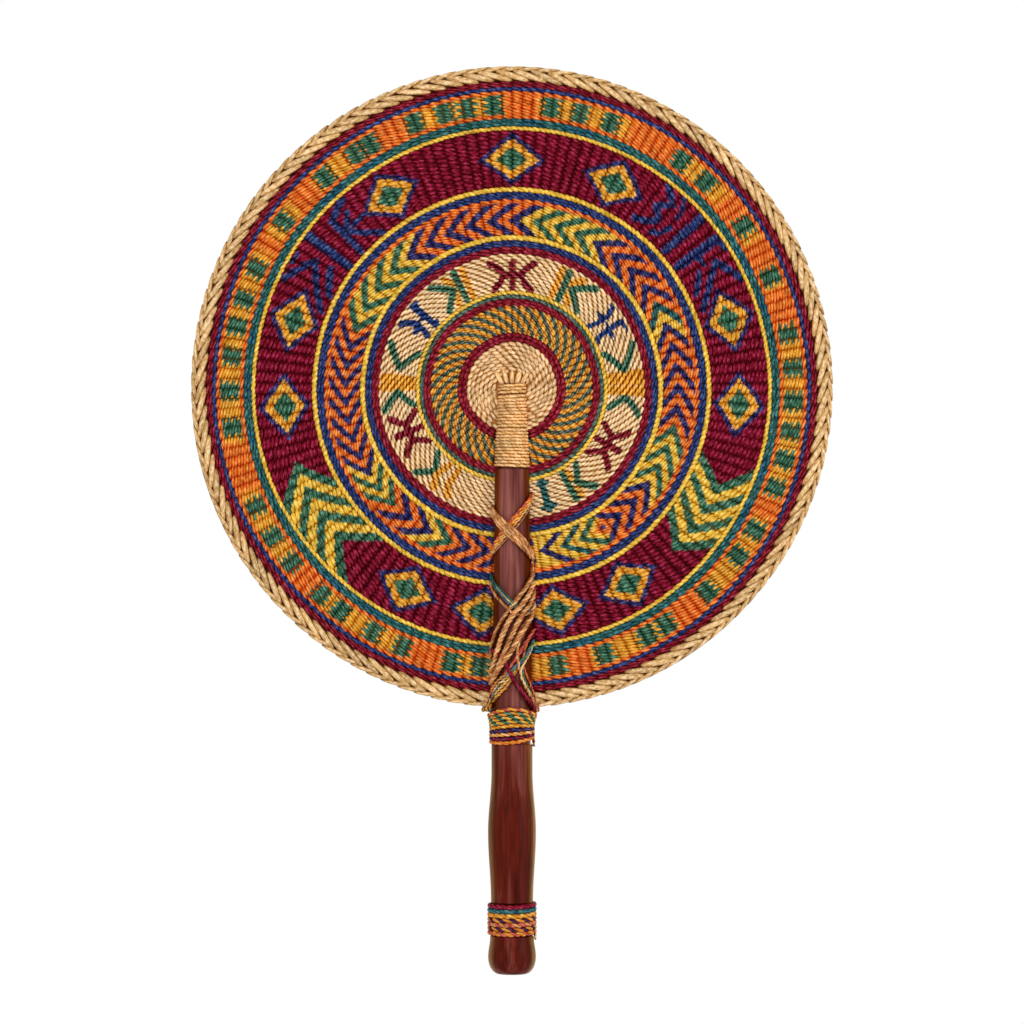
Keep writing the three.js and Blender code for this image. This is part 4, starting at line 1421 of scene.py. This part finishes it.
lace(
    "right_rim_threads", "lacing_right_rim", "maroon_straw",
    thread(
        (
            (-10.8, 131), (-7, 132.5), (-4.6, 135), (-2.9, 138.3), (-1.2, 141.6), (0.5, 145.4), (2.8, 149),
            (5, 152.3), (9, 157.3), (11, 161),
        ),
        ("red", "maroon", "red"), 1.2, 8, 0.5, 3, end_radius=1.5, to_rim=True,
    ),
    thread(
        (
            (10.8, 112), (8, 117), (5.5, 122), (3.2, 127), (2.4, 131), (2.6, 135), (3.4, 139.3), (4.2, 143.3),
            (7, 150.3), (11.2, 157.3), (12.6, 161),
        ),
        ("tan_light", "tan"), 1, 5, 0.9, 3.5, to_rim=True,
    ),
    thread(
        ((11, 127.4), (9, 132.4), (7, 136.4), (5, 139.4), (4, 142), (5, 146), (8.5, 152), (11.5, 160.6)),
        ("cream", "twine"), 0.65, 6, 1.9, 4, to_rim=True,
    ),
    thread(
        ((11, 126), (8, 131.5), (5.8, 136.5), (4.8, 141), (6, 146), (9, 152.4), (12, 160.4)),
        ("green", "green"), 0.95, 6, 0.3, 4, to_rim=True,
    ),
    thread(
        (
            (11.2, 121), (8.6, 125), (6.8, 129), (5.6, 133.5), (5.2, 138.5), (6.4, 142.3), (9, 147.8),
            (11.2, 155.3), (13.4, 161.3),
        ),
        ("orange", "brick"), 0.8, 5, 0.5, 5, to_rim=True,
    ),
)

# Neck binding
# Twisted coloured straw wound tight just under the rim, which stops the split from running down the
# stick. Each turn has its own two dyes. The loose end stands out on the right.
dyes["plum"] = srgb(62, 20, 48)
neck_rows = (
    ("gold", "brick"), ("amber", "green"), ("green", "gold"), ("green", "gold"), ("amber", "gold"),
    ("plum", "navy"), ("amber", "tan_light"), ("plum", "maroon"), ("orange", "amber"),
)
neck_drop = 0.8 * mm
neck_rise = 1 * mm
neck_arch = 3.4 * mm
neck_sag = 1.4 * mm
neck_flare = 1.3 * mm
neck_tilt = 1.1 * mm
winding_twist = 6.5 * mm
winding_plies = 2
winding_steps = 72
winding_gap = 0.02
winding_fill = 0.56
winding_ply_share = 0.66
winding_clearance = 0.1 * mm
winding_skew = 0.3 * mm
tail_length = 3.8 * mm
tail_rise = 2.6 * mm
tail_forward = 3 * mm
tail_thickness = 0.9 * mm
tail_twist = 5 * mm
tail_steps = 9


def coloured_winding(name, node, low, high, seat_radius, rows, arch, sag, flare, tilt, tail):
    """A winding whose turns change dye behind the handle, and its loose end.
    The top turns rise by arch in front and stand off by flare. The bottom turns drop by sag, and rise
    by tilt towards the right."""
    turns = len(rows)
    pitch = (high - low) / turns
    radius = pitch * winding_fill
    first_height = high - radius * 0.9
    lead = pitch * (turns - 0.9) / turns
    path, away, run = winding_path(
        turns - winding_gap, winding_steps, lambda turn: first_height - lead * turn,
        lambda height: seat_radius + radius + winding_clearance, -math.pi / 2,
    )
    share = run / turns
    path[:, 2] += (arch - (arch + sag) * share) * (away[:, 1] ** 2 - 0.4)
    path[:, 2] += (tilt * share - winding_skew) * away[:, 0]
    path += away * (flare * np.maximum(0, 1 - 2.5 * share))[:, None]
    lots = []
    for ply in range(winding_plies):
        dye = np.array([dyes[rows[min(int(turn), turns - 1)][ply]] for turn in run])
        lots.append(strand(path, away, radius, dye, ply, winding_plies, winding_twist, winding_ply_share))
    drop = np.linspace(0, 1, tail_steps)
    reach = seat_radius + radius * (1.15 + 0.3 * np.sin(drop * 3))
    end = np.stack((reach, 0 * drop - tail_forward, low + tail_rise - tail_length * drop), axis=-1)
    sideways = np.tile((1.0, 0, 0), (tail_steps, 1))
    for ply, dye_name in enumerate(tail):
        lots.append(strand(end, sideways, tail_thickness, dyes[dye_name], ply, len(tail), tail_twist))
    make_piece(name, lots, twisted_thread, "gold_straw", node)


coloured_winding(
    "neck_threads", "neck_binding", neck_low.z + neck_drop, neck_high.z + neck_rise, neck_seat_radius,
    neck_rows, neck_arch, neck_sag, neck_flare, neck_tilt, ("maroon", "tan"),
)

# Butt binding
# The same twisted straw wound round the narrow place above the butt, where it stops the hand from
# slipping off. It has seven dyed turns, and its loose end hangs on the right too.
butt_rows = (
    ("red", "maroon"), ("deep_teal", "teal"), ("gold", "amber"), ("amber", "plum"),
    ("tan", "brick"), ("plum", "amber"), ("amber", "brick"),
)
butt_sag = 0.6 * mm
coloured_winding(
    "butt_threads", "butt_binding", butt_low.z, butt_high.z + butt_rise, butt_seat_radius, butt_rows,
    -butt_sag, butt_sag, 0, 0, ("red", "cream"),
)

# Studio
# A plain white floor well below the fan, a white surround, and three large soft lamps.
floor_drop = 0.35
floor_size = 4.4
floor_clear = 0.9
# Each lamp's name, place, width and height, and power.
lamps = (
    ("key lamp", (-0.9, -2.2, 1.3), (1.5, 1.5), 28),
    ("strip lamp", (1.5, -1.1, 0.5), (0.4, 1.6), 12),
    ("back lamp", (0.4, 2.2, 1.4), (1.8, 1.8), 26),
)


def camera_or_mirror(tree):
    """A mask that is 1 for camera, mirror and glass rays and 0 for the rays that light things."""
    ray = new_node(tree, "ShaderNodeLightPath").outputs
    rays = {0: ray["Is Camera Ray"], 1: ray["Is Glossy Ray"]}
    camera_and_mirror = new_node(tree, "ShaderNodeMath", rays, operation="MAXIMUM").outputs["Value"]
    rays = {0: camera_and_mirror, 1: ray["Is Transmission Ray"]}
    return new_node(tree, "ShaderNodeMath", rays, operation="MAXIMUM").outputs["Value"]


def white_floor():
    """A floor that lights the fan as white paper would. To the camera it glows, keeps a faint shadow
    under the fan and turns into the white surround further out."""
    material, tree = new_material("studio_white")
    paper = tree.nodes["Principled BSDF"]
    fill_inputs(tree, paper, {"Base Color": (0.8, 0.8, 0.8, 1), "Roughness": 0.9, "Specular IOR Level": 0})
    place = new_node(tree, "ShaderNodeTexCoord").outputs["Object"]
    away = new_node(tree, "ShaderNodeVectorMath", {0: place}, operation="LENGTH").outputs["Value"]
    strength = mapped(tree, away, 0.3 * floor_clear, floor_clear, 0.72, 1, "SMOOTHSTEP")
    glow = new_node(tree, "ShaderNodeEmission", {"Strength": strength}).outputs["Emission"]
    lit = new_node(tree, "ShaderNodeBsdfDiffuse", {"Color": (0.4, 0.4, 0.4, 1)}).outputs["BSDF"]
    seen = new_node(tree, "ShaderNodeAddShader", {0: glow, 1: lit}).outputs["Shader"]
    shaders = {"Fac": camera_or_mirror(tree), 1: paper.outputs["BSDF"], 2: seen}
    mix = new_node(tree, "ShaderNodeMixShader", shaders).outputs["Shader"]
    fill_inputs(tree, tree.nodes["Material Output"], {"Surface": mix})
    return material


bpy.ops.object.select_all(action="DESELECT")
floor_place = (0, 0, handle_low.z - floor_drop)
bpy.ops.mesh.primitive_grid_add(x_subdivisions=8, y_subdivisions=8, size=floor_size, location=floor_place)
floor = bpy.context.object
floor.name = "studio_floor"
bpy.ops.object.transform_apply(location=True, rotation=True, scale=True)
floor.data.materials.append(white_floor())

for name, place, (width, height), power in lamps:
    lamp_data = bpy.data.lights.new(name, "AREA")
    lamp_data.shape = "RECTANGLE"
    lamp_data.size = width
    lamp_data.size_y = height
    lamp_data.energy = power
    lamp = bpy.data.objects.new(name, lamp_data)
    lamp.location = place
    aim = np.array((0, 0, picture_middle_height)) - np.array(place)
    flat = math.hypot(aim[0], aim[1])
    lamp.rotation_euler = (math.atan2(flat, -aim[2]), 0, math.atan2(-aim[0], aim[1]))
    bpy.context.scene.collection.objects.link(lamp)

world = bpy.data.worlds.new("studio")
bpy.context.scene.world = world
world.use_nodes = True
sky = world.node_tree
strength = mapped(sky, camera_or_mirror(sky), 0, 1, 0.5, 1)
fill_inputs(sky, sky.nodes["Background"], {"Color": (1, 1, 1, 1), "Strength": strength})
